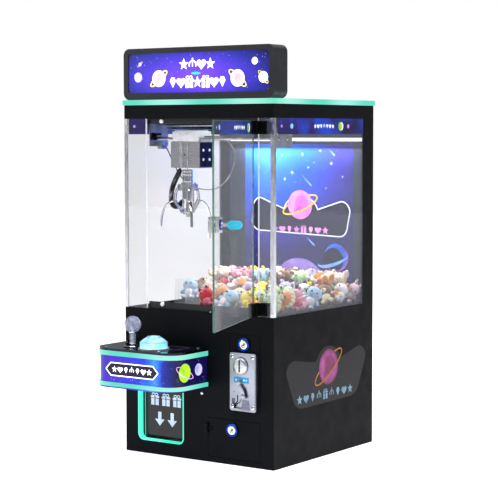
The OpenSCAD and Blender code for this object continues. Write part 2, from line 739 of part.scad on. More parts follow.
// a lock's plug and cam; the cam points to the hinge side when unlocked
module lock_plug(x, z) color([0.7, 0.71, 0.73]) {
  rod_y(-half_d - 4, -half_d + 19.4, x, z, plug_r);
  span([x - cam_len, -half_d + 19.4, z - 5], [x + 6, -half_d + 21.4, z + 5]);
}

module coin_door() color([0.07, 0.07, 0.08]) {
  difference() {
    span([coin_x + door_play, -half_d, coin_z + door_play],
         [coin_x + coin_w - door_play, -in_d, coin_z + coin_h - door_play]);
    rod_y(-half_d - eps, -in_d + eps, coin_lock_x, coin_lock_z, cam_lock_r);
    span([plate_x + 5.7, -half_d - eps, plate_z + 8.2], [plate_x + 50.3, -in_d + eps, plate_z + 112.8]);
  }
  for (z = [coin_z - 4, coin_z + coin_h - door_play])
    rod_z(z, z + 4 + door_play, coin_pin_x, coin_pin_y, 1.2);
  color([0.8, 0.81, 0.83]) cam_lock(coin_lock_x, coin_lock_z);
}

module coin_lock_cam() lock_plug(coin_lock_x, coin_lock_z);

// coin acceptor: its face plate outside and its mechanism behind
module coin_acceptor() color([0.72, 0.72, 0.74]) difference() {
  union() {
    round_plate(plate_x, plate_x + plate_w, plate_z, plate_z + plate_h, -half_d - plate_t, -half_d, 5);
    rod_y(-half_d - plate_t - 2, -half_d - plate_t + 1, slot_x, slot_z, 17);
    span([plate_x + 6, -half_d - eps, plate_z + 8.5], [plate_x + 50, -half_d + 43, plate_z + 112.5]);
  }
  span([slot_x - 1.5, -half_d - 20, slot_z - 14], [slot_x + 1.5, -half_d + 30, slot_z + 14]);
  span([plate_x + 5, -half_d - 20, plate_z + 5], [plate_x + 31, -half_d - 2, plate_z + 26]);
  rod_y(-half_d - 20, -half_d - 1, plate_x + 26.6, lever_z, 2 + fit);
  for (x = [5, 56], z = [11, 111.5])
    rod_y(-half_d - 20, -half_d - plate_t + 1, plate_x + x, plate_z + z, 2.6);
}

module coin_lever() color([0.6, 0.6, 0.62]) {
  translate([plate_x + 26.6, -half_d - plate_t - 0.4, lever_z]) rotate([90, 0, 0]) linear_extrude(4) union() {
    circle(5);
    rotate(17) translate([-3.5, -30]) square([7, 30]);
    rotate(17) translate([0, -30]) circle(3.5);
  }
  rod_y(-half_d - plate_t - 0.4, -half_d - 1.5, plate_x + 26.6, lever_z, 2);
}

module knuckle_leaf(x0, x1, z0, z1) {
  difference() {
    union() {
      rod_z(z0, z1, cash_pin_x, cash_pin_y, 3);
      span([min(x0, cash_pin_x), -half_d - 1.5, z0], [max(x1, cash_pin_x), -half_d, z1]);
    }
    rod_z(z0 - eps, z1 + eps, cash_pin_x, cash_pin_y, 1.2 + fit);
  }
}

module cash_door() color([0.07, 0.07, 0.08]) {
  difference() {
    span([cash_x + door_play, -half_d, cash_z + door_play],
         [cash_x + cash_w - door_play, -in_d, cash_z + cash_h - door_play]);
    rod_y(-half_d - eps, -in_d + eps, cash_lock_x, cash_lock_z, cam_lock_r);
  }
  knuckle_leaf(cash_x + 3, cash_x + 11, cash_z + 57.3, cash_z + 63.7);
  color([0.8, 0.81, 0.83]) cam_lock(cash_lock_x, cash_lock_z);
}

module cash_lock_cam() lock_plug(cash_lock_x, cash_lock_z);

// end plates with their glide shoes, joined by the two guide rods
module bridge_frame() color([0.62, 0.62, 0.64]) {
  both_sides() difference() {
    union() {
      span([plate_x0, bridge_y - bridge_half, rod_z - 16],
           [plate_x0 + 2, bridge_y + bridge_half, rail_z + 14]);
      span([plate_x0 + 2, bridge_y - axle_off - 8, rail_z + 0.3],
           [rail_web - 8, bridge_y - axle_off + 8, rail_z + 10]);
    }
    rod_x(plate_x0 - 1, plate_x0 + 3, bridge_y + axle_off, axle_z, axle_r + fit);
  }
  for (s = [-1, 1]) rod_x(-plate_x0, plate_x0, bridge_y + s * rod_off, rod_z, rod_dia / 2);
  span([-plate_x0, bridge_y - 6, rod_z - 22], [-plate_x0 + 12, bridge_y + 12, rod_z - 8]);
}

// gearbox that turns the drive shaft, and its motor
module bridge_motor() color([0.15, 0.15, 0.16]) {
  y = bridge_y + axle_off;
  difference() {
    span([plate_x0 - 34, y - 13, rail_z - 4], [plate_x0, y + 13, rail_z + 19]);
    rod_x(plate_x0 - 35, plate_x0 + 1, y, axle_z, axle_r + fit);
  }
  rod_y(y + 13, y + 42, plate_x0 - 17, axle_z, 11);
}

module drive_shaft() color([0.8, 0.8, 0.82]) {
  rod_x(-rail_web + 6, rail_web - 6, bridge_y + axle_off, axle_z, axle_r);
  both_sides() rod_x(rail_in + 1, rail_web - 6, bridge_y + axle_off, axle_z, wheel_r);
}

// stainless box under the bridge, with the hoist's motor inside
module trolley_box() color([0.66, 0.66, 0.68]) {
  difference() {
    span([box_x0, -claw_y - box_y, box_z0], [box_x1, -claw_y + box_y, housing_z0]);
    span([box_x0 + 1.5, -claw_y - box_y + 1.5, box_z0 + 1.5],
         [box_x1 - 1.5, -claw_y + box_y - 1.5, housing_z0 + eps]);
    rod_z(box_z0 - eps, box_z0 + 2, -claw_x, -claw_y, 4);
    rod_y(-claw_y - box_y - eps, -claw_y + box_y + eps, -claw_x + drum_r + 1, drum_z, 2 + fit);
  }
  span([-claw_x + 27, -claw_y - 18, box_z0 + 12], [-claw_x + 46, -claw_y + 18, box_z0 + 44]);
  span([-claw_x + 27, -claw_y - 4, box_z0 + 1.5], [-claw_x + 46, -claw_y + 4, box_z0 + 12]);
}

// white gear housing that slides along the guide rods
module trolley_housing() color([0.94, 0.94, 0.93]) difference() {
  span([box_x0 + 4, bridge_y - box_y + 1, housing_z0], [box_x1 - 4, bridge_y + box_y - 1, housing_z1]);
  for (s = [-1, 1]) rod_x(box_x0, box_x1, bridge_y + s * rod_off, rod_z, rod_dia / 2 + fit);
}

module winch_drum() color([0.2, 0.2, 0.22]) {
  x = -claw_x + drum_r + 1;
  rod_y(-claw_y - 8, -claw_y + 8, x, drum_z, drum_r);
  for (s = [-1, 1]) rod_y(-claw_y + s * 9 - 1, -claw_y + s * 9 + 1, x, drum_z, drum_r + 3);
  rod_y(-claw_y - box_y, -claw_y + box_y, x, drum_z, 2);
}

module hoist_line() color([0.15, 0.15, 0.15])
  rod_z(claw_top, drum_z, -claw_x, -claw_y, 0.6);

module at_finger(az) {
  translate([-claw_x, -claw_y, 0]) rotate([0, 0, az]) children();
}

// magnet coil with the hub that carries the three fingers
module claw_head() color([0.85, 0.85, 0.87]) difference() {
  union() {
    rod_z(hub_z + 9, claw_top, -claw_x, -claw_y, 11);
    rod_z(hub_z - 4, hub_z + 9, -claw_x, -claw_y, hub_r + 3);
    rod_z(hub_z - 23, hub_z - 4, -claw_x, -claw_y, 9);
  }
  rod_z(hub_z - 24, hub_z + 26, -claw_x, -claw_y, 3 + fit);
  for (a = finger_az) at_finger(a) {
    span([12, -finger_w / 2 - gap, hub_z - 5], [hub_r + 4, finger_w / 2 + gap, hub_z + 9.5]);
    rod_y(-8, 8, pivot_r - 2.5, hub_z + 2.5, 1.5 + fit);
  }
}

module claw_collar() color([0.85, 0.85, 0.87]) {
  rod_z(collar_z - 6, collar_z + 7, -claw_x, -claw_y, 10);
  rod_z(collar_z + 7, hub_z + 16, -claw_x, -claw_y, 3);
  for (a = finger_az) at_finger(a) span([8, -1.5, collar_z - 4], [15, 1.5, collar_z + 4]);
}

// a flat bar between two points, with round ends
// outline of a strip of thickness t along a list of points
function strip_side(p, t) = [for (i = [0:len(p) - 1])
  let (d = p[min(i + 1, len(p) - 1)] - p[max(i - 1, 0)]) p[i] + t / 2 * [-d[1], d[0]] / norm(d)];
function strip(p, t) = concat(strip_side(p, t), [for (i = [len(p) - 1:-1:0]) strip_side(p, -t)[i]]);

// one curved finger in its own plane: distance from the claw's axis, height from the hub
function finger_line(h, r) = [[17.5, 2.5], [25.5, -3], [30, -27], [44, -31], [0.9 * r, -46], [0.975 * r, -62],
                              [r, -h]];
module finger(az) color([0.88, 0.88, 0.9]) at_finger(az) {
  line = finger_line(hub_z - tip_z, finger_reach);
  translate([0, finger_w / 2, hub_z]) rotate([90, 0, 0]) linear_extrude(finger_w) {
    polygon(strip(line, finger_t));
    translate(line[0]) circle(3);
    translate(line[2]) circle(3);
  }
  rod_y(-7, 7, pivot_r - 2.5, hub_z + 2.5, 1.5);
}
module finger_1() finger(finger_az[0]);
module finger_2() finger(finger_az[1]);
module finger_3() finger(finger_az[2]);

// sweep of a round tube along a list of points
function unit(v) = v / norm(v);
function along(p, i) = unit(p[min(i + 1, len(p) - 1)] - p[max(i - 1, 0)]);
function ring_at(p, i, r, n) = let (t = along(p, i), u = unit(cross(t, [0.13, 0.99, 0.05])), v = cross(t, u))
  [for (k = [0:n - 1]) p[i] + r * (cos(360 * k / n) * u + sin(360 * k / n) * v)];
module tube(p, r, n) {
  last = (len(p) - 1) * n;
  polyhedron(
    points = [for (i = [0:len(p) - 1]) each ring_at(p, i, r, n)],
    faces = concat([[for (k = [0:n - 1]) k]],
      [for (i = [0:len(p) - 2], k = [0:n - 1])
        [i * n + k, (i + 1) * n + k, (i + 1) * n + (k + 1) % n, i * n + (k + 1) % n]],
      [[for (k = [n - 1:-1:0]) last + k]]));
}
// Catmull-Rom points between the route's own points
function spline(p, m) = [for (i = [0:len(p) - 2], k = [0:m - 1]) let (t = k / m,
    a = p[max(i - 1, 0)], b = p[i], c = p[i + 1], d = p[min(i + 2, len(p) - 1)])
  0.5 * (2 * b + (c - a) * t + (2 * a - 5 * b + 4 * c - d) * t * t + (3 * b - a - 3 * c + d) * t * t * t)];

// curly cord from the trolley's floor to the claw's coil
// each point is its distance from the claw's axis and its height from the trolley's floor
curl_route = [[26, 0], [26, -3], [26, -6], [31, -14], [39, -24], [49, -40], [55, -58], [55, -74], [46, -84],
              [33, -84], [22, -78], [15, -68]];
module curly_cord() color([0.03, 0.03, 0.03]) at_finger(curl_az) {
  pts = [for (q = curl_route) [q[0], 0, box_z0 - 0.02 + q[1]]];
  tube(concat(spline(pts, 3), [pts[len(pts) - 1]]), curl_dia / 2, 12);
}

// two-core lead from the bridge's left bracket, down behind the claw and up to the trolley
lead_route = [[-151, -112, 662], [-149, -112, 662], [-147, -112, 662], [-141, -103, 640], [-131, -86, 602],
              [-112, -78, 579], [-85, -76, 570], [-58, -76, 568], [-34, -78, 572], [-12, -80, 584],
              [8, -84, 605], [22, -90, 632], [27, -98, 652], [26, -110, 666], [14, -115, 680],
              [-6, -115, 683], [-31, -115, 683], [-35, -115, 683], [-39, -115, 683]];
module trolley_lead() color([0.25, 0.22, 0.2]) {
  shift = [85 - claw_x, 115 - claw_y, header_z - 721];
  pts = [for (q = lead_route) q + shift];
  tube(concat(spline(pts, 3), [pts[len(pts) - 1]]), 1.6, 8);
}

base_cabinet();
rear_cover();
screws();
power_inlet();
rocker_paddle();
power_supply();
control_board();
cash_box();
playfield_deck();
prize_chute();
chute_guard();
outlet_light();
prize_flap();
rear_columns();
backdrop();
side_glass();
front_glass();
corner_trims();
door_stops();
fixed_hinges();
header_frame();
roof_light();
roof_lid();
sign_housing();
sign_face();
soft_toys();
gantry_rails();
control_box();
control_top();
control_lights();
joystick_housing();
joystick_gimbal();
joystick_stick();
joystick_ball();
button_housing();
button_dome();
door_glass();
door_clamps();
door_lock();
door_key();
coin_door();
coin_lock_cam();
coin_acceptor();
coin_lever();
cash_door();
cash_lock_cam();
bridge_frame();
bridge_motor();
drive_shaft();
trolley_box();
trolley_housing();
winch_drum();
hoist_line();
claw_head();
claw_collar();
finger_1();
finger_2();
finger_3();
curly_cord();
trolley_lead();
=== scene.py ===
import math
import random

import bmesh
import bpy
from mathutils import Matrix, Vector, noise


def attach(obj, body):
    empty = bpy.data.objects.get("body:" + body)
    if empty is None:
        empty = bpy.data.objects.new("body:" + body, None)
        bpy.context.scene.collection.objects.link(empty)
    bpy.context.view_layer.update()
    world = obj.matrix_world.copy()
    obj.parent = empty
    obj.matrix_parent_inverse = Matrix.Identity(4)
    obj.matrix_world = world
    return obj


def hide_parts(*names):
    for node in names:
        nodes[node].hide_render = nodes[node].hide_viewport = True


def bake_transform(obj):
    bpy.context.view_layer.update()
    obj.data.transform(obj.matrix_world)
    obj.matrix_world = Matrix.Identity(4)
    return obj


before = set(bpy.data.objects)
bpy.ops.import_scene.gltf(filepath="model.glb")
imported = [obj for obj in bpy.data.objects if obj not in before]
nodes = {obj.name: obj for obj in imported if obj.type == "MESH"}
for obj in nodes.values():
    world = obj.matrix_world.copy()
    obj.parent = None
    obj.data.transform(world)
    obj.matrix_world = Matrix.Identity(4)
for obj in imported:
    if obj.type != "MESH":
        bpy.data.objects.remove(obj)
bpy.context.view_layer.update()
scene = bpy.context.scene

mm = 0.001
halfSide = 195  # half the cabinet's width and depth, mm
paneBack = 191  # inner face of the fixed glass, mm from the middle
deckZ, glassZ, headerZ = 312, 315, 721  # heights of the deck, and of the glass's foot and top, mm


# camera and light
cameraSet = {"at": (2.06912, -2.93620, 0.69272), "yaw": 35.194, "pitch": -4.116, "roll": 0.069, "lens": 118.15}
camData = bpy.data.cameras.new("camera")
camData.sensor_width = 36
camData.lens = cameraSet["lens"]
cam = bpy.data.objects.new("camera", camData)
turn = Matrix.Rotation(math.radians(cameraSet["yaw"]), 4, "Z")
tip = Matrix.Rotation(math.radians(90 + cameraSet["pitch"]), 4, "X")
roll = Matrix.Rotation(math.radians(-cameraSet["roll"]), 4, "Z")
cam.matrix_world = Matrix.Translation(cameraSet["at"]) @ turn @ tip @ roll
scene.collection.objects.link(cam)
scene.camera = cam
scene.view_settings.view_transform = "Standard"



def addLamp(name, place, size, watts):
    data = bpy.data.lights.new(name, "AREA")
    data.energy = watts
    data.size = size
    lamp = bpy.data.objects.new(name, data)
    lamp.location = place
    scene.collection.objects.link(lamp)
    return lamp, data


lamps = [
    # name, place, aimed at, size, watts
    ("topSoft", (0.3, -0.6, 2.6), (0, 0, 0.3), 2.4, 58),
    ("leftSoft", (-2.2, -1.8, 1.5), (0, 0, 0.45), 1.4, 16),
    ("rightSoft", (2.6, 0.4, 1.4), (0, 0, 0.45), 1.4, 12),
    ("backSoft", (-0.4, 2.4, 1.6), (0, 0, 0.4), 1.6, 16),
]
for name, place, target, size, watts in lamps:
    lamp, data = addLamp(name, place, size, watts)
    lamp.rotation_euler = (Vector(target) - Vector(place)).to_track_quat("-Z", "Y").to_euler()
cabinLamps = [
    # name, place, width, depth, watts, tilt towards the front
    ("gantryFill", (0.0, -0.05, 0.716), 0.34, 0.2, 0.3, 0),
    ("cabinMiddle", (0.03, 0.0, 0.6), 0.3, 0.26, 1.3, 0),
    ("cabinBack", (0.0, 0.166, 0.665), 0.34, 0.03, 1.9, -20),
]
for name, place, width, depth, watts, tilt in cabinLamps:
    lamp, data = addLamp(name, place, width, watts)
    data.shape = "RECTANGLE"
    data.size_y = depth
    data.color = (0.9, 0.95, 1.0)
    lamp.rotation_euler = (math.radians(tilt), 0, 0)
    lamp.visible_camera = False
    lamp.visible_glossy = False

world = bpy.data.worlds.new("studio")
world.use_nodes = True
sky = world.node_tree.nodes["Background"]
sky.inputs["Color"].default_value = (1, 1, 1, 1)
ray = world.node_tree.nodes.new("ShaderNodeLightPath")
level = world.node_tree.nodes.new("ShaderNodeMapRange")
level.inputs["To Min"].default_value = 0.24  # what lights the machine
level.inputs["To Max"].default_value = 1.0  # the white behind it
world.node_tree.links.new(ray.outputs["Is Camera Ray"], level.inputs["Value"])
world.node_tree.links.new(level.outputs["Result"], sky.inputs["Strength"])
scene.world = world
print("camera and light ready")


# material helpers
def colour(code):
    parts = [int(code[i:i + 2], 16) / 255 for i in (1, 3, 5)]
    return (*[c / 12.92 if c <= 0.04045 else ((c + 0.055) / 1.055) ** 2.4 for c in parts], 1.0)


def addNode(mat, kind, inputs=None, stops=None, **settings):
    node = mat.node_tree.nodes.new("ShaderNode" + kind)
    for key, value in settings.items():
        setattr(node, key, value)
    if stops:
        ramp = node.color_ramp.elements
        while len(ramp) < len(stops):
            ramp.new(0.5)
        for element, (place, code) in zip(ramp, stops):
            element.position = place
            element.color = colour(code)
    for key, value in (inputs or {}).items():
        socket = node.inputs[key]
        if isinstance(value, bpy.types.NodeSocket):
            mat.node_tree.links.new(value, socket)
        else:
            socket.default_value = value
    return node


def startMaterial(name, **sockets):
    # a material with its shader's own uniform values set, and its object coordinates
    mat = bpy.data.materials.new(name)
    mat.use_nodes = True
    shader = mat.node_tree.nodes["Principled BSDF"]
    for key, value in sockets.items():
        shader.inputs[key.replace("_", " ")].default_value = value
    coords = addNode(mat, "TexCoord").outputs["Object"]
    return mat, shader, coords


def wire(mat, output, socket):
    mat.node_tree.links.new(output, socket)


def mottled(mat, shader, coords, dark, light, scale, detail=3.0):
    # slow change of tone over the surface
    spots = addNode(mat, "TexNoise", {"Vector": coords, "Scale": scale, "Detail": detail})
    tones = addNode(mat, "ValToRGB", {"Fac": spots.outputs["Fac"]}, stops=[(0.3, dark), (0.7, light)])
    wire(mat, tones.outputs["Color"], shader.inputs["Base Color"])
    return tones


def rough(mat, shader, coords, low, high, scale):
    spots = addNode(mat, "TexNoise", {"Vector": coords, "Scale": scale, "Detail": 4.0})
    span = addNode(mat, "MapRange", {"Value": spots.outputs["Fac"], "From Min": 0.3, "From Max": 0.7,
                                     "To Min": low, "To Max": high})
    wire(mat, span.outputs["Result"], shader.inputs["Roughness"])


def bumpy(mat, shader, height, depth, strength=1.0):
    bump = addNode(mat, "Bump", {"Height": height, "Distance": depth, "Strength": strength})
    wire(mat, bump.outputs["Normal"], shader.inputs["Normal"])


def glowing(mat, shader, output, strength):
    # the surface sends out its own colours
    wire(mat, output, shader.inputs["Emission Color"])
    shader.inputs["Emission Strength"].default_value = strength


# polyester powder coat on folded steel: satin black with a fine orange peel, about 1.2 mm a dimple
def powderCoat(name, dark, light, low=0.42, high=0.55):
    mat, shader, coords = startMaterial(name, IOR=1.5, Specular_IOR_Level=0.07)
    mottled(mat, shader, coords, dark, light, 6)
    rough(mat, shader, coords, low, high, 30)
    peel = addNode(mat, "TexNoise", {"Vector": coords, "Scale": 800, "Detail": 1.0})
    bumpy(mat, shader, peel.outputs["Fac"], 0.00005, 0.35)
    return mat


# moulded ABS: fine spark-eroded grain, 0.6 mm, even sheen
def mouldedPlastic(name, dark, light, low=0.35, high=0.5):
    mat, shader, coords = startMaterial(name, IOR=1.46, Specular_IOR_Level=0.4)
    mottled(mat, shader, coords, dark, light, 12)
    rough(mat, shader, coords, low, high, 60)
    grain = addNode(mat, "TexVoronoi", {"Vector": coords, "Scale": 1600})
    bumpy(mat, shader, grain.outputs["Distance"], 0.00003, 0.3)
    return mat


# plated steel: near mirror, with faint polishing marks along one way
def platedMetal(name, dark, light, low, high, lay=(1, 1, 12), scale=60):
    mat, shader, coords = startMaterial(name, Metallic=1.0)
    stretch = addNode(mat, "Mapping", {"Vector": coords, "Scale": lay})
    marks = addNode(mat, "TexNoise", {"Vector": stretch.outputs["Vector"], "Scale": scale, "Detail": 5.0})
    tones = addNode(mat, "ValToRGB", {"Fac": marks.outputs["Fac"]}, stops=[(0.3, dark), (0.7, light)])
    wire(mat, tones.outputs["Color"], shader.inputs["Base Color"])
    span = addNode(mat, "MapRange", {"Value": marks.outputs["Fac"], "To Min": low, "To Max": high})
    wire(mat, span.outputs["Result"], shader.inputs["Roughness"])
    bumpy(mat, shader, marks.outputs["Fac"], 0.00002, 0.25)
    return mat


# soda-lime or acrylic pane: faint tint, sharp gloss, a little wipe haze in the roughness
def clearPane(name, tint, alpha):
    mat, shader, coords = startMaterial(name, IOR=1.5, Alpha=alpha, Specular_IOR_Level=0.9)
    mottled(mat, shader, coords, tint, tint, 3)
    rough(mat, shader, coords, 0.02, 0.08, 9)
    return mat


# lit diffuser: frosted acrylic over a row of diodes, brighter over each diode, 17 mm apart
def litDiffuser(name, code, hot, strength, pitch=17.0):
    mat, shader, coords = startMaterial(name, IOR=1.49, Roughness=0.4, Specular_IOR_Level=0.3)
    turned = addNode(mat, "Mapping", {"Vector": coords, "Rotation": (0, 0, math.radians(45))})
    bands = 1000 / pitch / 6.28 * 1.41  # waves per metre, on a strip that runs along X or Y
    dots = addNode(mat, "TexWave", {"Vector": turned.outputs["Vector"], "Scale": bands, "Distortion": 1.5},
                   bands_direction="X")
    tones = addNode(mat, "ValToRGB", {"Fac": dots.outputs["Fac"]}, stops=[(0.1, code), (1.0, hot)])
    shader.inputs["Base Color"].default_value = colour("#1E4A3C")
    glowing(mat, shader, tones.outputs["Color"], strength)
    return mat


# screen-printed or digitally printed ink: flat colour with a fine dot structure, lit from behind if glow > 0
def printedInk(name, code, glow=0.0, deeper=None):
    mat, shader, coords = startMaterial(name, IOR=1.45, Roughness=0.42, Specular_IOR_Level=0.25)
    shade = mottled(mat, shader, coords, deeper or code, code, 45)
    if glow:
        glowing(mat, shader, shade.outputs["Color"], glow)
    return mat


# printed film of deep space: a sweep of colours along one axis, or a glow round a centre where axis is None,
# with clouds about 60 mm across and pin-prick stars
def spacePrint(name, sweep, axis, span, cloud, glow, starScale=260, low=0.3, drift=0.32):
    mat, shader, coords = startMaterial(name, IOR=1.45, Roughness=low, Specular_IOR_Level=0.3)
    if axis:
        split = addNode(mat, "SeparateXYZ", {"Vector": coords})
        part = addNode(mat, "MapRange", {"Value": split.outputs[axis], "From Min": span[0], "From Max": span[1]})
    else:
        centred = addNode(mat, "Mapping", {"Vector": coords, "Location": span[0], "Scale": span[1]},
                          vector_type="TEXTURE")
        ball = addNode(mat, "TexGradient", {"Vector": centred.outputs["Vector"]}, gradient_type="SPHERICAL")
        part = addNode(mat, "MapRange", {"Value": ball.outputs["Fac"]})
    haze = addNode(mat, "TexNoise", {"Vector": coords, "Scale": cloud, "Detail": 5.0, "Roughness": 0.55})
    shift = addNode(mat, "MapRange", {"Value": haze.outputs["Fac"], "From Min": 0.25, "From Max": 0.75,
                                      "To Min": -drift, "To Max": drift})
    place = addNode(mat, "Math", {0: part.outputs["Result"], 1: shift.outputs["Result"]}, operation="ADD")
    tones = addNode(mat, "ValToRGB", {"Fac": place.outputs["Value"]}, stops=sweep)
    cells = addNode(mat, "TexVoronoi", {"Vector": coords, "Scale": starScale})
    pricks = addNode(mat, "MapRange", {"Value": cells.outputs["Distance"], "From Min": 0.05, "From Max": 0.13,
                                       "To Min": 1.0, "To Max": 0.0})
    thin = addNode(mat, "TexNoise", {"Vector": coords, "Scale": starScale * 0.35, "Detail": 1.0})
    keep = addNode(mat, "MapRange", {"Value": thin.outputs["Fac"], "From Min": 0.6, "From Max": 0.68})
    shine = addNode(mat, "Math", {0: pricks.outputs["Result"], 1: keep.outputs["Result"]}, operation="MULTIPLY")
    mixed = addNode(mat, "Mix", {"Factor": shine.outputs["Value"], "A": tones.outputs["Color"],
                                 "B": colour("#E8F0FF")}, data_type="RGBA")
    wire(mat, mixed.outputs["Result"], shader.inputs["Base Color"])
    if glow:
        glowing(mat, shader, mixed.outputs["Result"], glow)
    return mat


# short-pile polyester plush: 1.5 mm tufts and a soft sheen at the edges
def shortPlush(name, dark, light):
    mat, shader, coords = startMaterial(name, Roughness=0.95, Specular_IOR_Level=0.15, Sheen_Weight=0.6,
                                        Sheen_Roughness=0.5)
    mottled(mat, shader, coords, dark, light, 220, 4.0)
    tufts = addNode(mat, "TexNoise", {"Vector": coords, "Scale": 650, "Detail": 3.0})
    bumpy(mat, shader, tufts.outputs["Fac"], 0.0008, 0.8)
    return mat


blackCoat = powderCoat("blackPowderCoat", "#06070A", "#0B0C11")
signBlack = mouldedPlastic("blackSignMoulding", "#14161B", "#1C1F26", 0.4, 0.55)
blackAbs = mouldedPlastic("blackAbs", "#0B0C0E", "#131417")
blackPaint = powderCoat("blackHingePaint", "#050506", "#0B0B0D", 0.3, 0.42)
whiteNylon = mouldedPlastic("whiteNylon", "#E9EBF0", "#F7F8FB", 0.3, 0.4)
redAbs = mouldedPlastic("redRockerAbs", "#A80F0C", "#C41812", 0.2, 0.3)
greyAbs = mouldedPlastic("greyAbs", "#8B8E96", "#A4A7AF")
chromeSteel = platedMetal("chromePlate", "#C9CBD0", "#F2F3F5", 0.05, 0.16)
brushedSteel = platedMetal("brushedStainless", "#7D7E84", "#B4B5BA", 0.22, 0.4, (1, 1, 40), 90)
zincSteel = platedMetal("zincPlatedSteel", "#8D9095", "#BDBFC4", 0.28, 0.45, (3, 1, 1), 40)
brightAlu = platedMetal("brightAnodisedAluminium", "#C4C6CC", "#ECEDF1", 0.12, 0.26, (8, 8, 1), 60)
castZinc = platedMetal("satinPlatedDieCast", "#8C8F9C", "#B4B7C4", 0.24, 0.38, (1, 1, 1), 14)
discAlu = platedMetal("turnedAluminiumDisc", "#B4B6C0", "#E2E3E8", 0.25, 0.4)
# darker copy of the plate metal: painted shade on the coin plate's right bevel and in its return pocket
paintedShadeZinc = platedMetal("satinPlatedPaintedShade", "#5C5F70", "#7E8192", 0.24, 0.36)
blueAlu = platedMetal("blueAnodisedRing", "#08246E", "#1450C0", 0.2, 0.3)
tinPlate = platedMetal("galvanisedSheet", "#7F848A", "#B0B5BA", 0.35, 0.5, (1, 1, 1), 25)
# the door pane's milky grey, less clear than the fixed panes, is a painted reflection laid into its tint and alpha
doorPane = clearPane("temperedDoorPaneWithPaintedReflection", "#B9BDC6", 0.16)
fixedPane = clearPane("temperedFixedPane", "#C6CAD2", 0.10)
sidePane = clearPane("temperedSidePane", "#8A8D9A", 0.17)
guardPane = clearPane("clearAcrylicGuard", "#EEF2F6", 0.14)
paneEdge, edgeShader, edgeCoords = startMaterial("groundGlassEdge", IOR=1.5, Roughness=0.25, Alpha=0.75)
mottled(paneEdge, edgeShader, edgeCoords, "#2E5A52", "#6E9A8F", 20)
mintLight = litDiffuser("mintLedDiffuser", "#5CD8BE", "#A2EEE0", 0.97, 110.0)
mintFrame = litDiffuser("greenLedFrame", "#2BF0BC", "#6CFFE2", 1.25, 70.0)
whiteLight = printedInk("whiteLedDiffuser", "#F4F8FF", 2.6, "#DDE8FF")
print("plain materials ready")


# mesh helpers
def finishPiece(name, bm, materials, body, smoothUnder=40, replaces=(), outward=True):
    # the mesh is drawn in millimetres in the object's frame
    if outward:
        bmesh.ops.recalc_face_normals(bm, faces=bm.faces)
    bmesh.ops.scale(bm, vec=(mm, mm, mm), verts=bm.verts)
    mesh = bpy.data.meshes.new(name)
    bm.to_mesh(mesh)
    bm.free()
    for material in materials:
        mesh.materials.append(material)
    if smoothUnder:
        mesh.shade_smooth()
        mesh.set_sharp_from_angle(angle=math.radians(smoothUnder))
    piece = bpy.data.objects.new(name, mesh)
    scene.collection.objects.link(piece)
    if body:
        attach(piece, body)
    if replaces:
        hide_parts(*replaces)
    return piece


def newFaces(made):
    return list({f for v in made if isinstance(v, bmesh.types.BMVert) for f in v.link_faces})


def block(bm, low, high, bevel=0.0, ink=0, place=None):
    # a box between two corners, its edges bevelled
    middle = [(a + b) / 2 for a, b in zip(low, high)]
    size = [b - a for a, b in zip(low, high)]
    made = bmesh.ops.create_cube(bm, size=1)["verts"]
    bmesh.ops.scale(bm, vec=size, verts=made)
    bmesh.ops.translate(bm, vec=middle, verts=made)
    faces = newFaces(made)
    if bevel:
        edges = list({e for f in faces for e in f.edges})
        out = bmesh.ops.bevel(bm, geom=edges, offset=bevel, segments=2, profile=0.5, affect="EDGES", material=-1)
        made = list({v for f in out["faces"] for v in f.verts} | {v for v in made if v.is_valid})
        faces = newFaces(made)
    for f in faces:
        f.material_index = ink
    if place:
        bmesh.ops.transform(bm, matrix=place, verts=list({v for f in faces for v in f.verts}))
    return faces


def softenEdges(bm, steeper, offset):
    # bevels every edge whose faces meet at more than an angle in degrees
    edges = [e for e in bm.edges if e.calc_face_angle(0) > math.radians(steeper)]
    bmesh.ops.bevel(bm, geom=edges, offset=offset, segments=2, profile=0.5, affect="EDGES", material=-1)


def lathe(bm, profile, place, steps=40, ink=0):
    # spins a profile of (radius, height) points round Z, then moves it to place
    verts = [bm.verts.new((max(r, 0.0005), 0, h)) for r, h in profile]
    edges = [bm.edges.new((a, b)) for a, b in zip(verts, verts[1:])]
    made = bmesh.ops.spin(bm, geom=verts + edges, cent=(0, 0, 0), axis=(0, 0, 1), angle=2 * math.pi, steps=steps,
                          use_merge=True)
    ring = set(verts)
    todo = list(verts)
    while todo:
        for e in todo.pop().link_edges:
            for v in e.verts:
                if v not in ring:
                    ring.add(v)
                    todo.append(v)
    bmesh.ops.remove_doubles(bm, verts=[v for v in ring if math.hypot(v.co.x, v.co.y) < 0.01], dist=0.01)
    live = [v for v in ring if v.is_valid]
    for f in newFaces(live):
        f.material_index = ink
    bmesh.ops.transform(bm, matrix=place, verts=live)
    return live


def facing(origin, right, up):
    # matrix whose X goes right, Y up and Z out of the surface
    r, u = Vector(right).normalized(), Vector(up).normalized()
    w = r.cross(u)
    return Matrix.Translation(origin) @ Matrix((r, u, w)).transposed().to_4x4()


def frontAt(y):
    return facing((0, y, 0), (1, 0, 0), (0, 0, 1))


def sideAt(x):
    return facing((x, 0, 0), (0, 1, 0), (0, 0, 1))


def roofAt(z):
    return facing((0, 0, z), (1, 0, 0), (0, 1, 0))


def spot(plane, x, y):
    # the same plane with its origin moved to a point on it
    return plane @ Matrix.Translation((x, y, 0))


doorSet = {"pivot": (156, -199.3), "open": 110, "left": -135, "right": 150, "low": 317, "high": 715, "glass": 4}
swing = (Matrix.Translation((*doorSet["pivot"], 0)) @ Matrix.Rotation(math.radians(doorSet["open"]), 4, "Z")
         @ Matrix.Translation((-doorSet["pivot"][0], -doorSet["pivot"][1], 0)))


def arc(cx, cy, a, b, start, end, count):
    steps = [math.radians(start + (end - start) * i / (count - 1)) for i in range(count)]
    return [(cx + a * math.cos(t), cy + b * math.sin(t)) for t in steps]


def disc(r, count=40):
    return arc(0, 0, r, r, 0, 360 * (count - 1) / count, count)


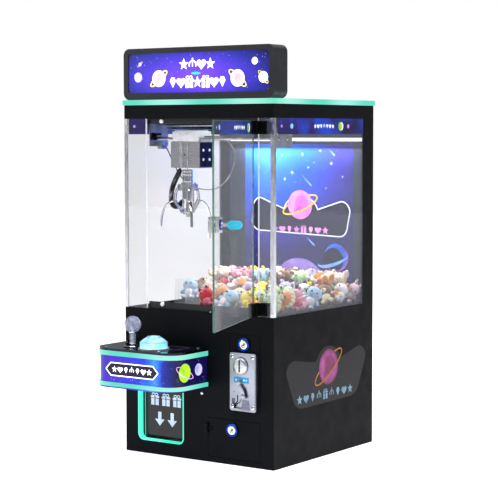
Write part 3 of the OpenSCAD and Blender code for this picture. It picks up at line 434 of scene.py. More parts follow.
def roundRect(w, h, r):
    x, y = w / 2 - r, h / 2 - r
    corners = (x, y, 0), (-x, y, 90), (-x, -y, 180), (x, -y, 270)
    return [p for cx, cy, start in corners for p in arc(cx, cy, r, r, start, start + 90, 6)]


def star(points, outer, inner):
    turns = [(math.pi / 2 + math.pi * i / points, outer if i % 2 == 0 else inner) for i in range(2 * points)]
    return [(r * math.cos(t), r * math.sin(t)) for t, r in turns]


def heart(r):
    steps = [2 * math.pi * i / 36 for i in range(36)]
    return [(r * 16 * math.sin(t) ** 3 / 16,
             r * (13 * math.cos(t) - 5 * math.cos(2 * t) - 2 * math.cos(3 * t) - math.cos(4 * t)) / 16) for t in steps]


def strip(line, width):
    # outline of a band along a line, narrower at its ends where width is a function
    left, right = [], []
    for i, p in enumerate(line):
        a, b = Vector(line[max(i - 1, 0)]), Vector(line[min(i + 1, len(line) - 1)])
        d = (b - a).normalized()
        w = width(i / (len(line) - 1)) if callable(width) else width
        left.append((p[0] - d.y * w / 2, p[1] + d.x * w / 2))
        right.append((p[0] + d.y * w / 2, p[1] - d.x * w / 2))
    return left + right[::-1]


def stamp(bm, plane, shape, at=(0, 0), turn=0.0, ink=0, layer=0, hollow=0.0, thick=0.12):
    # one printed or cut-out shape, thick enough to stand clear of what it lies on
    c, s = math.cos(math.radians(turn)), math.sin(math.radians(turn))
    base = 0.06 + 0.14 * layer
    verts = [bm.verts.new((at[0] + c * x - s * y, at[1] + s * x + c * y, base)) for x, y in shape]
    face = bm.faces.new(verts)
    face.normal_update()
    if face.normal.z < 0:
        face.normal_flip()
    faces = [face]
    if hollow:
        faces = bmesh.ops.inset_region(bm, faces=[face], thickness=hollow, use_even_offset=True,
                                       use_boundary=True)["faces"]
        bm.faces.remove(face)
    made = bmesh.ops.extrude_face_region(bm, geom=faces)["geom"]
    top = [v for v in made if isinstance(v, bmesh.types.BMVert)]
    bmesh.ops.translate(bm, vec=(0, 0, thick), verts=top)
    every = set(top) | {v for f in faces for v in f.verts}
    for f in newFaces(every):
        f.material_index = ink
    bmesh.ops.transform(bm, matrix=plane, verts=list(every))


def sweep(bm, points, radius, sides):
    # round tube with closed ends along a list of points, each ring square to the line
    pts = [Vector(p) for p in points]
    side = Vector((0.13, 0.97, 0.2)).normalized()
    rings = []
    for i, p in enumerate(pts):
        d = (pts[min(i + 1, len(pts) - 1)] - pts[max(i - 1, 0)]).normalized()
        side = (side - d * side.dot(d)).normalized()
        other = d.cross(side)
        rings.append([bm.verts.new(p + radius * (math.cos(t) * side + math.sin(t) * other))
                      for t in [2 * math.pi * k / sides for k in range(sides)]])
    for a, b in zip(rings, rings[1:]):
        for k in range(sides):
            bm.faces.new((a[k], a[(k + 1) % sides], b[(k + 1) % sides], b[k]))
    bm.faces.new(rings[0][::-1])
    bm.faces.new(rings[-1])


def smoothLine(points, per):
    # a smooth curve through the points, with this many steps from each to the next
    out = []
    for i in range(len(points) - 1):
        a, b = Vector(points[max(i - 1, 0)]), Vector(points[i])
        c, d = Vector(points[i + 1]), Vector(points[min(i + 2, len(points) - 1)])
        for k in range(per):
            t = k / per
            out.append(0.5 * (2 * b + (c - a) * t + (2 * a - 5 * b + 4 * c - d) * t * t
                              + (3 * b - a - 3 * c + d) * t ** 3))
    out.append(Vector(points[-1]))
    return out


def lengthOf(points):
    return sum((b - a).length for a, b in zip(points, points[1:]))


# cords
curlSet = {"angle": 168, "centre": (-85, -115), "top": 616, "pitch": 2.9, "coil": 4.8, "wire": 1.15,
           "route": [(26, 0), (26, -3), (26, -6), (31, -14), (39, -24), (49, -40), (55, -58), (55, -74), (46, -84),
                     (33, -84), (22, -78), (15, -68)]}
blackRubber, rubberShader, rubberCoords = startMaterial("blackCordSleeve", IOR=1.52, Specular_IOR_Level=0.4)
mottled(blackRubber, rubberShader, rubberCoords, "#08080A", "#151518", 90)
rough(blackRubber, rubberShader, rubberCoords, 0.35, 0.5, 120)
greyLead, leadShader, leadCoords = startMaterial("greyPvcLead", IOR=1.52, Specular_IOR_Level=0.5)
mottled(greyLead, leadShader, leadCoords, "#57524F", "#8F8B88", 40)
rough(greyLead, leadShader, leadCoords, 0.3, 0.45, 90)


def finishCord(node):
    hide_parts(node)


def curlyCord():
    # centre line of the coiled wire: a helix round the route, drawn in to the line at both ends
    s = curlSet
    az = math.radians(s["angle"])
    out = Vector((math.cos(az), math.sin(az), 0))
    core = smoothLine([Vector((s["centre"][0], s["centre"][1], s["top"] + h)) + out * r for r, h in s["route"]], 40)
    total = lengthOf(core)
    turns = (total - 8) / s["pitch"]
    perTurn = 14
    count = int(turns * perTurn)
    cross = Vector((-math.sin(az), math.cos(az), 0))
    marks = [0.0]
    for a, b in zip(core, core[1:]):
        marks.append(marks[-1] + (b - a).length)
    line, j = [], 0
    for i in range(count + 1):
        along = total * i / count
        while j < len(core) - 2 and marks[j + 1] < along:
            j += 1
        f = (along - marks[j]) / max(marks[j + 1] - marks[j], 1e-6)
        p = core[j].lerp(core[j + 1], min(max(f, 0), 1))
        d = (core[j + 1] - core[j]).normalized()
        up = cross.cross(d)
        ease = min(1.0, along / 7, (total - along) / 7)
        t = 2 * math.pi * i / perTurn
        line.append(p + s["coil"] * ease * (math.cos(t) * up + math.sin(t) * cross))
    return line


curlLine = curlyCord()
bm = bmesh.new()
sweep(bm, curlLine, curlSet["wire"], 6)
curl = finishPiece("curlyCord", bm, [blackRubber], None, 60, outward=False)
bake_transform(curl)
finishCord("curly_cord")

leadSet = {"radius": 1.5,
           "route": [(-151, -112, 662), (-149, -112, 662), (-147, -112, 662), (-141, -103, 640), (-131, -86, 602),
                     (-112, -78, 579), (-85, -76, 570), (-58, -76, 568), (-34, -78, 572), (-12, -80, 584),
                     (8, -84, 605), (22, -90, 632), (27, -98, 652), (26, -110, 666), (14, -115, 680),
                     (-6, -115, 683), (-31, -115, 683), (-35, -115, 683), (-39, -115, 683)]}
leadLine = smoothLine(leadSet["route"], 4)
bm = bmesh.new()
sweep(bm, leadLine, leadSet["radius"], 10)
lead = finishPiece("trolleyLead", bm, [greyLead], None, 60, outward=False)
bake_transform(lead)
finishCord("trolley_lead")
print("cords ready:", round(lengthOf(curlLine)), "mm and", round(lengthOf(leadLine)), "mm")


# floor
bm = bmesh.new()
bmesh.ops.create_grid(bm, x_segments=2, y_segments=2, size=9000)
paleFloor, floorShader, floorCoords = startMaterial("paleStudioFloor", Roughness=0.9, Specular_IOR_Level=0.1)
mottled(paleFloor, floorShader, floorCoords, "#F6F6F7", "#FAFAFB", 1)
floorShader.inputs["Emission Color"].default_value = (1, 1, 1, 1)
floorShader.inputs["Emission Strength"].default_value = 0.85
floor = finishPiece("floor", bm, [paleFloor], None, 0)


# finishes of the CAD nodes
# back wall film: the dark space colours and the stars are print; the bright blue glow round a point high up, left of
# the middle, sent out by the film itself, is painted light falling from the top left
backdropPrintPaintedLight = spacePrint("backdropFilmPrintAndPaintedLight", [(0.0, "#29245A"), (0.3, "#33308E"), (0.6, "#2450C8"), (1.0, "#3578E0")],
                       None, ((-0.07, 0.188, 0.63), (0.24, 0.3, 0.22)), 7, 0.3, drift=0.1)
signFilm = spacePrint("litSignFilm", [(0.0, "#12123F"), (0.25, "#1E2280"), (0.5, "#3A2CA8"), (0.95, "#6238C8")],
                      None, ((-0.01, -0.193, 0.81), (0.235, 0.3, 0.075)), 9, 0.95, 340, drift=0.12)
panelFilm = spacePrint("litPanelFilm", [(0.0, "#1C1F8C"), (0.25, "#3A1FA8"), (0.6, "#1D2FC0"), (0.74, "#2C7CF2"),
                                        (0.86, "#17268C"), (1.0, "#0E0E40")],
                       "X", (-0.20, 0.03), 8, 0.62, 300, drift=0.13)
topFilm = spacePrint("glossyTopFilm", [(0.0, "#0C0A18"), (0.5, "#1A1432"), (0.75, "#241A48"), (1.0, "#08080F")],
                     "X", (-0.20, 0.04), 12, 0.0, 300, 0.12)
circuitGreen = mouldedPlastic("greenSolderMask", "#0A4A22", "#0F6A32", 0.25, 0.35)
smokedFlap = mouldedPlastic("smokedAcrylicFlap", "#060709", "#0B0C10", 0.12, 0.2)
clearResin, resinShader, resinCoords = startMaterial("clearCastResin", IOR=1.5, Roughness=0.04, Alpha=0.45,
                                                     Specular_IOR_Level=1.0)
mottled(clearResin, resinShader, resinCoords, "#8E93B8", "#D9DDF2", 140)
domeGlow, domeShader, domeCoords = startMaterial("litDomePolycarbonate", IOR=1.58, Roughness=0.15, Coat_Weight=0.6)
domeTone = mottled(domeGlow, domeShader, domeCoords, "#2FB9EE", "#B8FFF8", 60)
glowing(domeGlow, domeShader, domeTone.outputs["Color"], 0.85)
keyCyan = mouldedPlastic("cyanKeyPlastic", "#18A6C8", "#3FD0EE", 0.18, 0.28)
# black marks laid over holes and recesses: painted shade in slots, keyways, screw crosses and screw sockets
paintedShadeBlack = mouldedPlastic("paintedRecessShade", "#020203", "#050506", 0.6, 0.8)

finishOf = {
    "base_cabinet": blackCoat, "rear_cover": blackCoat, "screws": chromeSteel, "power_inlet": blackAbs,
    "rocker_paddle": redAbs, "power_supply": tinPlate, "control_board": circuitGreen, "cash_box": tinPlate,
    "playfield_deck": blackAbs, "prize_chute": tinPlate, "chute_guard": guardPane, "outlet_light": mintFrame,
    "prize_flap": smokedFlap, "rear_columns": blackCoat, "backdrop": backdropPrintPaintedLight, "side_glass": sidePane,
    "front_glass": fixedPane, "corner_trims": brightAlu, "door_stops": blackAbs, "fixed_hinges": blackPaint,
    "header_frame": blackCoat, "roof_light": mintLight, "roof_lid": blackCoat, "sign_housing": signBlack,
    "sign_face": signFilm, "gantry_rails": zincSteel, "control_box": panelFilm, "control_top": topFilm,
    "control_lights": mintLight, "joystick_housing": blackAbs, "joystick_gimbal": zincSteel,
    "joystick_stick": chromeSteel, "joystick_ball": clearResin, "button_housing": greyAbs,
    "button_dome": domeGlow, "door_glass": doorPane, "door_clamps": blackPaint, "door_lock": chromeSteel,
    "door_key": keyCyan, "coin_door": blackCoat, "coin_lock_cam": chromeSteel, "coin_acceptor": castZinc,
    "coin_lever": castZinc, "cash_door": blackCoat, "cash_lock_cam": chromeSteel, "bridge_frame": zincSteel,
    "bridge_motor": blackPaint, "drive_shaft": zincSteel, "trolley_box": brushedSteel,
    "trolley_housing": whiteNylon, "winch_drum": blackAbs, "hoist_line": blackRubber, "claw_head": chromeSteel,
    "claw_collar": chromeSteel, "finger_1": chromeSteel, "finger_2": chromeSteel, "finger_3": chromeSteel,
}
for node, material in finishOf.items():
    mesh = nodes[node].data
    mesh.materials.clear()
    mesh.materials.append(material)
print("CAD finishes ready:", len(finishOf))


# the claw, its collar, its fingers and the links that pull them in
clawSet = {"centre": (-85, -115), "hub": 571, "azimuths": {"left_finger": 195, "back_finger": 75, "front_finger": -45},
           "upper": [(17.5, 2.5), (23, 0.5), (26.5, -5), (28.5, -14), (30, -27)],
           "lower": [(30, -27), (37, -28), (45, -32), (52, -39.5), (57, -49), (61, -63), (63, -83)],
           "width": 6, "linkTop": (30, -27), "linkFoot": (13, -50)}


def clawPlane(az, out=0.0):
    t = math.radians(az)
    plane = facing((*clawSet["centre"], clawSet["hub"]), (math.cos(t), math.sin(t), 0), (0, 0, 1))
    return plane @ Matrix.Translation((0, 0, out))


def taper(start, end):
    return lambda t: start + (end - start) * t


def clawFinger(body, az, node):
    s = clawSet
    bm = bmesh.new()
    plane = clawPlane(az, -s["width"] / 2 - 0.06)
    upper = [tuple(p) for p in smoothLine([Vector(p) for p in s["upper"]], 4)]
    lower = [tuple(p) for p in smoothLine([Vector(p) for p in s["lower"]], 4)]
    stamp(bm, plane, strip(upper, 4.4), thick=s["width"])
    stamp(bm, plane, strip(lower, taper(4.6, 2.4)), thick=s["width"])
    for at in (s["upper"][0], s["upper"][-1]):
        stamp(bm, plane, disc(3.4, 20), at=at, thick=s["width"])
    softenEdges(bm, 60, 0.7)
    pin = facing((0, 0, 0), (1, 0, 0), (0, 1, 0))
    for at in (s["upper"][0], s["upper"][-1]):
        head = spot(clawPlane(az), *at) @ pin
        lathe(bm, [(0, -5.2), (2.2, -5.2), (2.6, -4.8), (2.6, -4.2), (1.5, -4.1), (1.5, 4.1), (2.6, 4.2), (2.6, 4.8),
                   (2.2, 5.2), (0, 5.2)], head, 16)
    finishPiece(node.replace("_", ""), bm, [chromeSteel], body, 35, [node])


def clawLink(az, name):
    s = clawSet
    bm = bmesh.new()
    for out in (-5.6, 3.4):
        plane = clawPlane(az, out)
        line = [s["linkFoot"], s["linkTop"]]
        stamp(bm, plane, strip(line, 4.2), thick=1.6)
        for at in line:
            stamp(bm, plane, disc(2.9, 18), at=at, thick=1.9)
    piece = finishPiece(name, bm, [chromeSteel], None, 35)
    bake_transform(piece)


for i, (body, az) in enumerate(clawSet["azimuths"].items(), 1):
    clawFinger(body, az, f"finger_{i}")
    clawLink(az, f"clawLink{i}")

clawAxis = Matrix.Translation((*clawSet["centre"], 0))
bm = bmesh.new()
for z in (607.5, 601, 586.5):
    lathe(bm, [(10.6, z - 1.3), (11.7, z - 1.0), (11.9, z), (11.7, z + 1.0), (10.6, z + 1.3)], clawAxis)
for i in range(8):
    z = 549.6 + 2.3 * i
    lathe(bm, [(8.6, z - 0.9), (9.6, z - 0.5), (9.6, z + 0.5), (8.6, z + 0.9)], clawAxis, ink=1)
for az in (135, 15, -105):
    t = math.radians(az)
    place = spot(clawAxis, 16.5 * math.cos(t), 16.5 * math.sin(t))
    lathe(bm, [(0, 584), (2.2, 584), (2.9, 583.4), (2.9, 580)], place, 6)
    lathe(bm, [(1.7, 527), (1.7, 567), (0, 567.2)], spot(place, -3.5 * math.cos(t), -3.5 * math.sin(t)), 12)
finishPiece("clawHeadTrim", bm, [chromeSteel, castZinc], "claw", 35)
bm = bmesh.new()
lathe(bm, [(9.8, 518.2), (10.8, 518.6), (10.8, 520.6), (9.8, 521)], clawAxis)
lathe(bm, [(9.8, 524.6), (10.8, 525), (10.8, 526.6), (9.8, 527)], clawAxis)
lathe(bm, [(0, 509.5), (3.6, 509.5), (4.4, 510.3), (4.4, 513.6), (6.5, 514.9)], clawAxis, 24)
finishPiece("clawCollarTrim", bm, [chromeSteel], "collar", 35)
print("claw ready")

# the trolley's trim: bright centre strip, screws, cap strip and motor lugs
bm = bmesh.new()
trolleyFront = frontAt(-139)
stamp(bm, trolleyFront, roundRect(9, 56, 0.6), at=(-84, 644), thick=0.8)
stamp(bm, trolleyFront, roundRect(3, 56, 0.6), at=(-66, 644), thick=0.7)
for z in (634, 654):
    for y in (-126, -104):
        stamp(bm, sideAt(-35), disc(2.9, 20), at=(y, z), ink=1, thick=1.2)
finishPiece("trolleyTrim", bm, [brightAlu, whiteNylon], "trolley", 35)
navyPaint = powderCoat("navyPanelPaint", "#0C1230", "#141C48", 0.25, 0.35)
bm = bmesh.new()
stamp(bm, sideAt(-35.1), roundRect(44, 52, 1), at=(-115, 644), thick=0.25)
finishPiece("trolleySidePlate", bm, [navyPaint], "trolley", 35)
bm = bmesh.new()
for x in (-98, -78, -58):
    block(bm, (x - 7.5, -139.4, 674), (x + 7.5, -137.8, 692), 0.5)
for x in (-88, -68):
    lathe(bm, [(0, 2.6), (2.6, 2.4), (3.4, 1.6), (3.4, 0)], spot(frontAt(-138), x, 686), 20)
block(bm, (-104, -136, 693.5), (-44, -94, 696), 0.8)
finishPiece("housingRibs", bm, [whiteNylon], "trolley", 35)

# bridge trim: hangers, nuts on the rods' ends, rollers on the rails and screws through the end plates
bm = bmesh.new()
for y in (-131, -99):
    for x in (-164.2, 164.2):
        s = 1 if x > 0 else -1
        place = facing((x, y, 678), (0, s, 0), (0, 0, 1))
        lathe(bm, [(0, 1.6), (3.6, 1.4), (4.3, 0.8), (4.3, -1.2)], place @ Matrix.Translation((0, 0, 0.6)), 6)
finishPiece("bridgeNuts", bm, [chromeSteel], "bridge", 35)
bm = bmesh.new()
block(bm, (-166.5, -142, 664), (-163.4, -121, 690), 0.4)
block(bm, (-163.4, -140, 686), (-150, -123, 690), 0.6)
lathe(bm, [(2, -4), (6, -3.6), (6.4, -3), (6.4, 3), (6, 3.6), (2, 4)],
      facing((-157, -139, 681), (0, 1, 0), (0, 0, 1)), 24)
finishPiece("bridgeLeftArm", bm, [blackPaint], "bridge", 35)
bm = bmesh.new()
for y in (-137, -93):
    place = spot(sideAt(165), y, 690)
    lathe(bm, [(0, 1.2), (2.2, 1.1), (3.0, 0.5), (3.0, 0)], place, 24)
    # black mark in each screw head: painted shade in its socket
    lathe(bm, [(0, 1.25), (1.1, 1.25), (1.2, 0.9)], place, 6, ink=1)
finishPiece("bridgeEndScrews", bm, [chromeSteel, paintedShadeBlack], "bridge", 35)

# white light bar under the header at the back, and white buffer caps for the door
bm = bmesh.new()
block(bm, (-182, 176, 672), (182, 186.6, 679), 1.2)
finishPiece("cabinLight", bm, [whiteLight], "cabinet", 35)
bm = bmesh.new()
for z in (325.5, 715.5):
    lathe(bm, [(0, 0.42), (3.4, 0.38), (4.4, 0.15), (4.75, -0.3), (4.75, -2.8)], spot(frontAt(-190.5), -98, z), 28)
finishPiece("bufferCaps", bm, [whiteNylon], "cabinet", 35)
bm = bmesh.new()
for x, z, r in ((11.4, 144, 3.2), (34.4, 317, 1.2)):
    lathe(bm, [(0, 1.0), (r * 0.6, 0.95), (r, 0.3), (r, 0)], spot(frontAt(-halfSide), x, z), 20)
finishPiece("frontScrews", bm, [chromeSteel], "cabinet", 35)
print("gantry trim ready")


def paneRim(bm, plane, u0, u1, v0, v1, depth):
    # ground edge of a pane: four thin bars round it, their depth running into the glass from the plane
    o = 0.35
    for low, high in (((u0 - o, v0), (u0, v1)), ((u1, v0), (u1 + o, v1)), ((u0, v0 - o), (u1, v0)),
                      ((u0, v1), (u1, v1 + o))):
        block(bm, (low[0], low[1], -depth), (high[0], high[1], 0), 0, place=plane)


bm = bmesh.new()
d = doorSet
paneRim(bm, swing @ frontAt(-halfSide), d["left"], d["right"], d["low"], d["high"], d["glass"])
finishPiece("doorPaneEdge", bm, [paneEdge], "glass_door", 0)
bm = bmesh.new()
for x0, x1 in ((156.2, 156.9), (-136.0, -135.4)):
    block(bm, (x0, -halfSide, glassZ), (x1, -paneBack, headerZ))
finishPiece("fixedPaneEdges", bm, [whiteNylon], "cabinet", 0)

# door lock: blue ring, keyed face and key
bm = bmesh.new()
lockFront = swing @ spot(frontAt(-203), -121, 519)
lathe(bm, [(6.2, 0), (6.2, 1.2), (7.0, 1.9), (9.0, 1.9), (10.2, 1.2), (10.6, 0)], lockFront, 40)
lathe(bm, [(5.6, 0), (5.6, 2.4), (6.2, 2.6), (6.2, 0)], lockFront, 40, ink=1)
finishPiece("doorLockRing", bm, [blueAlu, chromeSteel], "glass_door", 35)
bm = bmesh.new()
keyPlane = swing @ facing((-121, 0, 519), (0, -1, 0), (0, 0, 1))
# outline of the bow, drawn along the key's length from the lock
bow = arc(224, 0, 8, 8, 90, 270, 14) + arc(237, 0, 8, 8, -90, 90, 14)
stamp(bm, keyPlane @ Matrix.Translation((0, 0, -2.4)), bow, hollow=2.2, thick=4.8)
stamp(bm, keyPlane @ Matrix.Translation((0, 0, -1.3)), [(x * 0.98 + 4.4, y * 0.9) for x, y in bow], thick=2.4)
softenEdges(bm, 50, 0.5)
blade = [(204, -3.2), (204, 3.2), (219, 3.2), (219, -3.2)]
stamp(bm, keyPlane @ Matrix.Translation((0, 0, -1.06)), blade, ink=1, thick=2)
plug = swing @ spot(frontAt(-204), -121, 519)
lathe(bm, [(0, 0.2), (4.4, 0.2), (5, -0.3), (5, -22.4), (0, -22.4)], plug, 32, ink=1)
block(bm, (-5, -26, -24.4), (5, 6, -22.4), 0.4, 1, plug)
finishPiece("doorKey", bm, [keyCyan, chromeSteel], "door_key_turn", 35, ["door_key"])

# two cam locks: blue ring, bright dished face, and a black keyway mark as painted shade in the key slot
camLocks = [
    # name, place, body of the door, body of the cam
    ("coin", (121.4, 255.3), "coin_door_leaf", "coin_cam"),
    ("cash", (91.4, 74), "cash_door_leaf", "cash_cam"),
]
for name, at, door, turning in camLocks:
    place = spot(frontAt(-198), *at)
    bm = bmesh.new()
    lathe(bm, [(10.2, 0), (10.2, 1.1), (11.2, 1.6), (13.2, 1.4), (14, 0.4), (14, 0)], place, 44, ink=1)
    lathe(bm, [(5.2, 0), (5.2, 1.6), (7.5, 2.2), (9.6, 1.5), (10.2, 0.6), (10.2, 0)], place, 44)
    finishPiece(name + "LockRing", bm, [chromeSteel, blueAlu], door, 35)
    bm = bmesh.new()
    face = spot(frontAt(-199), *at)
    stamp(bm, face, strip(arc(0, 0.4, 2.9, 2.9, 200, 420, 14), 1.3), layer=1, thick=0.2)
    stamp(bm, face, roundRect(1.6, 5.6, 0.6), layer=2, thick=0.2)
    finishPiece(name + "Keyway", bm, [paintedShadeBlack], turning, 35)
print("locks and glass edges ready")


# printed and lit artwork, every shape a thin layer of ink standing on its film
inks = {name: printedInk(name + "Ink", tone, glow, deeper) for name, tone, glow, deeper in (
    ("litWhite", "#FFFFFF", 1.3, "#EEF0FF"), ("litPink", "#F7B8F0", 1.0, "#C88AE8"),
    ("litCream", "#FFF3EC", 1.15, "#FFDCE0"), ("litYellow", "#F2E64A", 1.0, "#C8C42E"),
    ("litLilac", "#C9C4FF", 1.0, "#8F8AE6"), ("litCyan", "#35C8F5", 1.0, "#1E8FE0"),
    ("litLime", "#B4E032", 0.7, "#7FB81E"), ("white", "#EEF2FA", 0.25, "#DDE4F4"),
    ("pink", "#E99BE0", 0.22, "#C667C4"), ("deepPink", "#D874C8", 0.2, "#B0479C"),
    ("yellow", "#EBCB3A", 0.25, "#D0A51E"), ("blue", "#3E7BFF", 0.3, "#1B2C8C"),
    ("paleBlue", "#8CC4FF", 0.35, "#4A86E8"), ("lilac", "#B59BE8", 0.25, "#8C70CC"),
    ("green", "#9AC83C", 0.2, "#6C9C28"), ("night", "#26243C", 0.0, "#1B1A2E"),
    ("dimPink", "#A84F94", 0.0, "#7C3270"), ("dimRose", "#8C3A66", 0.0, "#6C2850"),
    ("dimOrange", "#B87818", 0.0, "#94600F"), ("dimCyan", "#7FA6BC", 0.0, "#5F7F98"),
    ("dimNight", "#0C0A18", 0.0, "#120C14"), ("flapGrey", "#D8E2EA", 0.3, "#B4C2CC"),
    ("olive", "#6E7428", 0.0, "#56581C"), ("labelBlue", "#35A8E0", 0.0, "#2A94D0"))}


def planet(bm, plane, at, r, body, ring, order, ringSize=1.62, tilt=25, width=0.2, layer=0, spots=None):
    # a disc with a ring whose far side passes behind it; order gives each ink's slot
    long, short = r * ringSize, r * 0.42
    if ring is not None:
        stamp(bm, plane, strip(arc(0, 0, long, short, 5, 175, 30), r * width), at, tilt, order[ring], layer)
    stamp(bm, plane, disc(r, 44), at, 0, order[body], layer + 1)
    if spots is not None:
        stamp(bm, plane, arc(r * 0.12, r * 0.1, r * 0.55, r * 0.55, 0, 350, 30), at, 0, order[spots], layer + 2)
        stamp(bm, plane, arc(-r * 0.35, -r * 0.45, r * 0.2, r * 0.2, 0, 350, 16), at, 0, order[spots], layer + 2)
    if ring is not None:
        stamp(bm, plane, strip(arc(0, 0, long, short, 172, 368, 40), r * width), at, tilt, order[ring], layer + 3)


def slots(*names):
    # the place of each ink among the piece's materials
    return {n: i for i, n in enumerate(names)}


# picture signs that stand where lettering would: each is a list of shapes
def claw(s):
    return [strip([(0, 0.5 * s), (0, 0.24 * s)], 0.12 * s),
            strip(arc(0, -0.06 * s, 0.34 * s, 0.32 * s, 90, 205, 12), 0.11 * s),
            strip(arc(0, -0.06 * s, 0.34 * s, 0.32 * s, 90, -25, 12), 0.11 * s),
            strip([(0, 0.26 * s), (0, -0.2 * s)], 0.1 * s)]


def gift(s):
    left, right = -0.38 * s, 0.38 * s
    return [[(left, -0.45 * s), (-0.05 * s, -0.45 * s), (-0.05 * s, 0.08 * s), (left, 0.08 * s)],
            [(0.05 * s, -0.45 * s), (right, -0.45 * s), (right, 0.08 * s), (0.05 * s, 0.08 * s)],
            [(left - 0.05 * s, 0.13 * s), (-0.05 * s, 0.13 * s), (-0.05 * s, 0.28 * s), (left - 0.05 * s, 0.28 * s)],
            [(0.05 * s, 0.13 * s), (right + 0.05 * s, 0.13 * s), (right + 0.05 * s, 0.28 * s), (0.05 * s, 0.28 * s)],
            strip(arc(-0.16 * s, 0.4 * s, 0.14 * s, 0.1 * s, 0, 330, 14), 0.07 * s),
            strip(arc(0.16 * s, 0.4 * s, 0.14 * s, 0.1 * s, 180, 510, 14), 0.07 * s)]


def downArrow(s):
    return [[(-0.14 * s, 0.5 * s), (0.14 * s, 0.5 * s), (0.14 * s, 0), (0.4 * s, 0), (0, -0.45 * s), (-0.4 * s, 0),
             (-0.14 * s, 0)]]


def starSign(s):
    return [star(5, 0.5 * s, 0.21 * s)]


def heartSign(s):
    return [heart(0.46 * s)]


def diamond(s):
    return [[(-0.3 * s, 0.12 * s), (-0.16 * s, 0.4 * s), (0.16 * s, 0.4 * s), (0.3 * s, 0.12 * s), (0, -0.42 * s)]]


def moon(s):
    return [arc(0, 0, 0.45 * s, 0.45 * s, 60, 300, 20) + arc(0.1 * s, 0, 0.36 * s, 0.4 * s, 285, 75, 16)]


def signRow(bm, plane, row, centre, size, pitch, ink, layer=1):
    for i, sign in enumerate(row):
        x = centre[0] + (i - (len(row) - 1) / 2) * pitch
        for k, shape in enumerate(sign(size)):
            stamp(bm, plane, shape, (x, centre[1]), 0, ink, layer)


def starField(bm, plane, box, count, seed, ink, small=0.35, large=1.0, layer=0):
    rng = random.Random(seed)
    for _ in range(count):
        at = (rng.uniform(box[0], box[1]), rng.uniform(box[2], box[3]))
        r = rng.uniform(small, large)
        stamp(bm, plane, star(4, r * 1.7, r * 0.4) if r > 0.8 * large else disc(r, 7), at, 0, ink, layer)


# the lit sign: rows of picture signs, four ringed planets
names = ("litWhite", "litPink", "litCream", "litYellow", "litLilac", "litCyan")
ink = slots(*names)
signPlane = frontAt(-193)
bm = bmesh.new()
signRow(bm, signPlane, [starSign, claw, heartSign, starSign], (0, 834), 26, 23, ink["litWhite"])
signRow(bm, signPlane, [diamond, heartSign, gift, starSign, gift, heartSign, diamond], (1, 796.5), 26, 21.5,
        ink["litWhite"])
stamp(bm, signPlane, arc(0, 0, 12.5, 2.8, 0, 350, 24), (-3, 815), 0, ink["litCyan"])
planet(bm, signPlane, (-101, 805.5), 17.5, "litCream", "litYellow", ink, 1.5, 35, 0.16, spots="litPink")
planet(bm, signPlane, (104, 803), 17.5, "litCream", "litYellow", ink, 1.5, -38, 0.14, spots="litPink")
planet(bm, signPlane, (-157, 809), 10.5, "litLilac", None, ink)
planet(bm, signPlane, (-152, 836.5), 4.2, "litLilac", "litYellow", ink, 1.9, 40)
planet(bm, signPlane, (147, 837), 7.5, "litCream", None, ink)
planet(bm, signPlane, (168, 804), 11.5, "litCream", "litYellow", ink, 1.45, -48, 0.13)
starField(bm, signPlane, (-178, 178, 781, 853), 46, 5, ink["litLilac"], 0.4, 0.9)
finishPiece("signArt", bm, [inks[n] for n in names], "cabinet", 0)

# the film on the control panel: hexagonal badge with picture signs, two planets on the right side
names = ("litWhite", "night", "litLime", "litPink", "litLilac", "dimNight")
ink = slots(*names)
panelPlane = frontAt(-307)
bm = bmesh.new()
badge = [(-158, 196.5), (-144, 211), (-30, 211), (-16, 196.5), (-30, 182), (-144, 182)]
stamp(bm, panelPlane, badge, ink=ink["night"])
stamp(bm, panelPlane, badge, ink=ink["litWhite"], layer=1, hollow=2.2)
signRow(bm, panelPlane, [starSign, heartSign, diamond, claw, diamond, heartSign, starSign], (-87, 196.5), 15, 15.5,
        ink["litWhite"])
panelSide = sideAt(25)
planet(bm, panelSide, (-272, 197), 19.5, "litLime", "litPink", ink, 1.55, -24, 0.07)
planet(bm, panelSide, (-225, 199), 12.5, "litLilac", None, ink)
starField(bm, panelPlane, (-150, -20, 172, 180), 14, 8, ink["litLilac"], 0.3, 0.8)
starField(bm, panelSide, (-250, -200, 172, 222), 12, 9, ink["litLilac"], 0.3, 0.8)
finishPiece("panelArt", bm, [inks[n] for n in names], "cabinet", 0)
bm = bmesh.new()
stamp(bm, roofAt(240), roundRect(50, 47, 1), at=(-37, -229), hollow=1.6)
finishPiece("panelTopFrame", bm, [inks["olive"]], "cabinet", 0)

# the film on the back wall: dark banner with a white outline, planets, shooting stars
names = ("white", "night", "pink", "deepPink", "yellow", "blue", "paleBlue", "lilac")
ink = slots(*names)
wall = frontAt(187.9)
slate, slateShader, slateCoords = startMaterial("slateWallMargin", Roughness=0.5)
mottled(slate, slateShader, slateCoords, "#232733", "#2C313F", 8)
bm = bmesh.new()
for x in (-169, 169):
    stamp(bm, wall, roundRect(43, 404, 1), at=(x, 518))
stamp(bm, wall, roundRect(293, 55, 1), at=(0, 692.5))
finishPiece("wallMargins", bm, [slate], "cabinet", 0)
bm = bmesh.new()
wallBack = facing((0, 192, 0), (-1, 0, 0), (0, 0, 1))
stamp(bm, wallBack, [(-149, 317), (149, 317), (149, 719), (-149, 719)], thick=0.3)
finishPiece("wallBackFace", bm, [slate], "cabinet", 0)
bm = bmesh.new()
banner = (arc(7.5, 503, 50, 46, 20, 160, 16) + arc(-104, 517, 22, 26, 90, 190, 8) + arc(-104, 488, 25, 24, 170, 262, 8)
          + arc(112, 480, 22, 24, 275, 360, 8) + arc(116, 511, 25, 27, 5, 90, 8))
stamp(bm, wall, banner, ink=ink["night"])
stamp(bm, wall, banner, ink=ink["white"], layer=1, hollow=2.6)
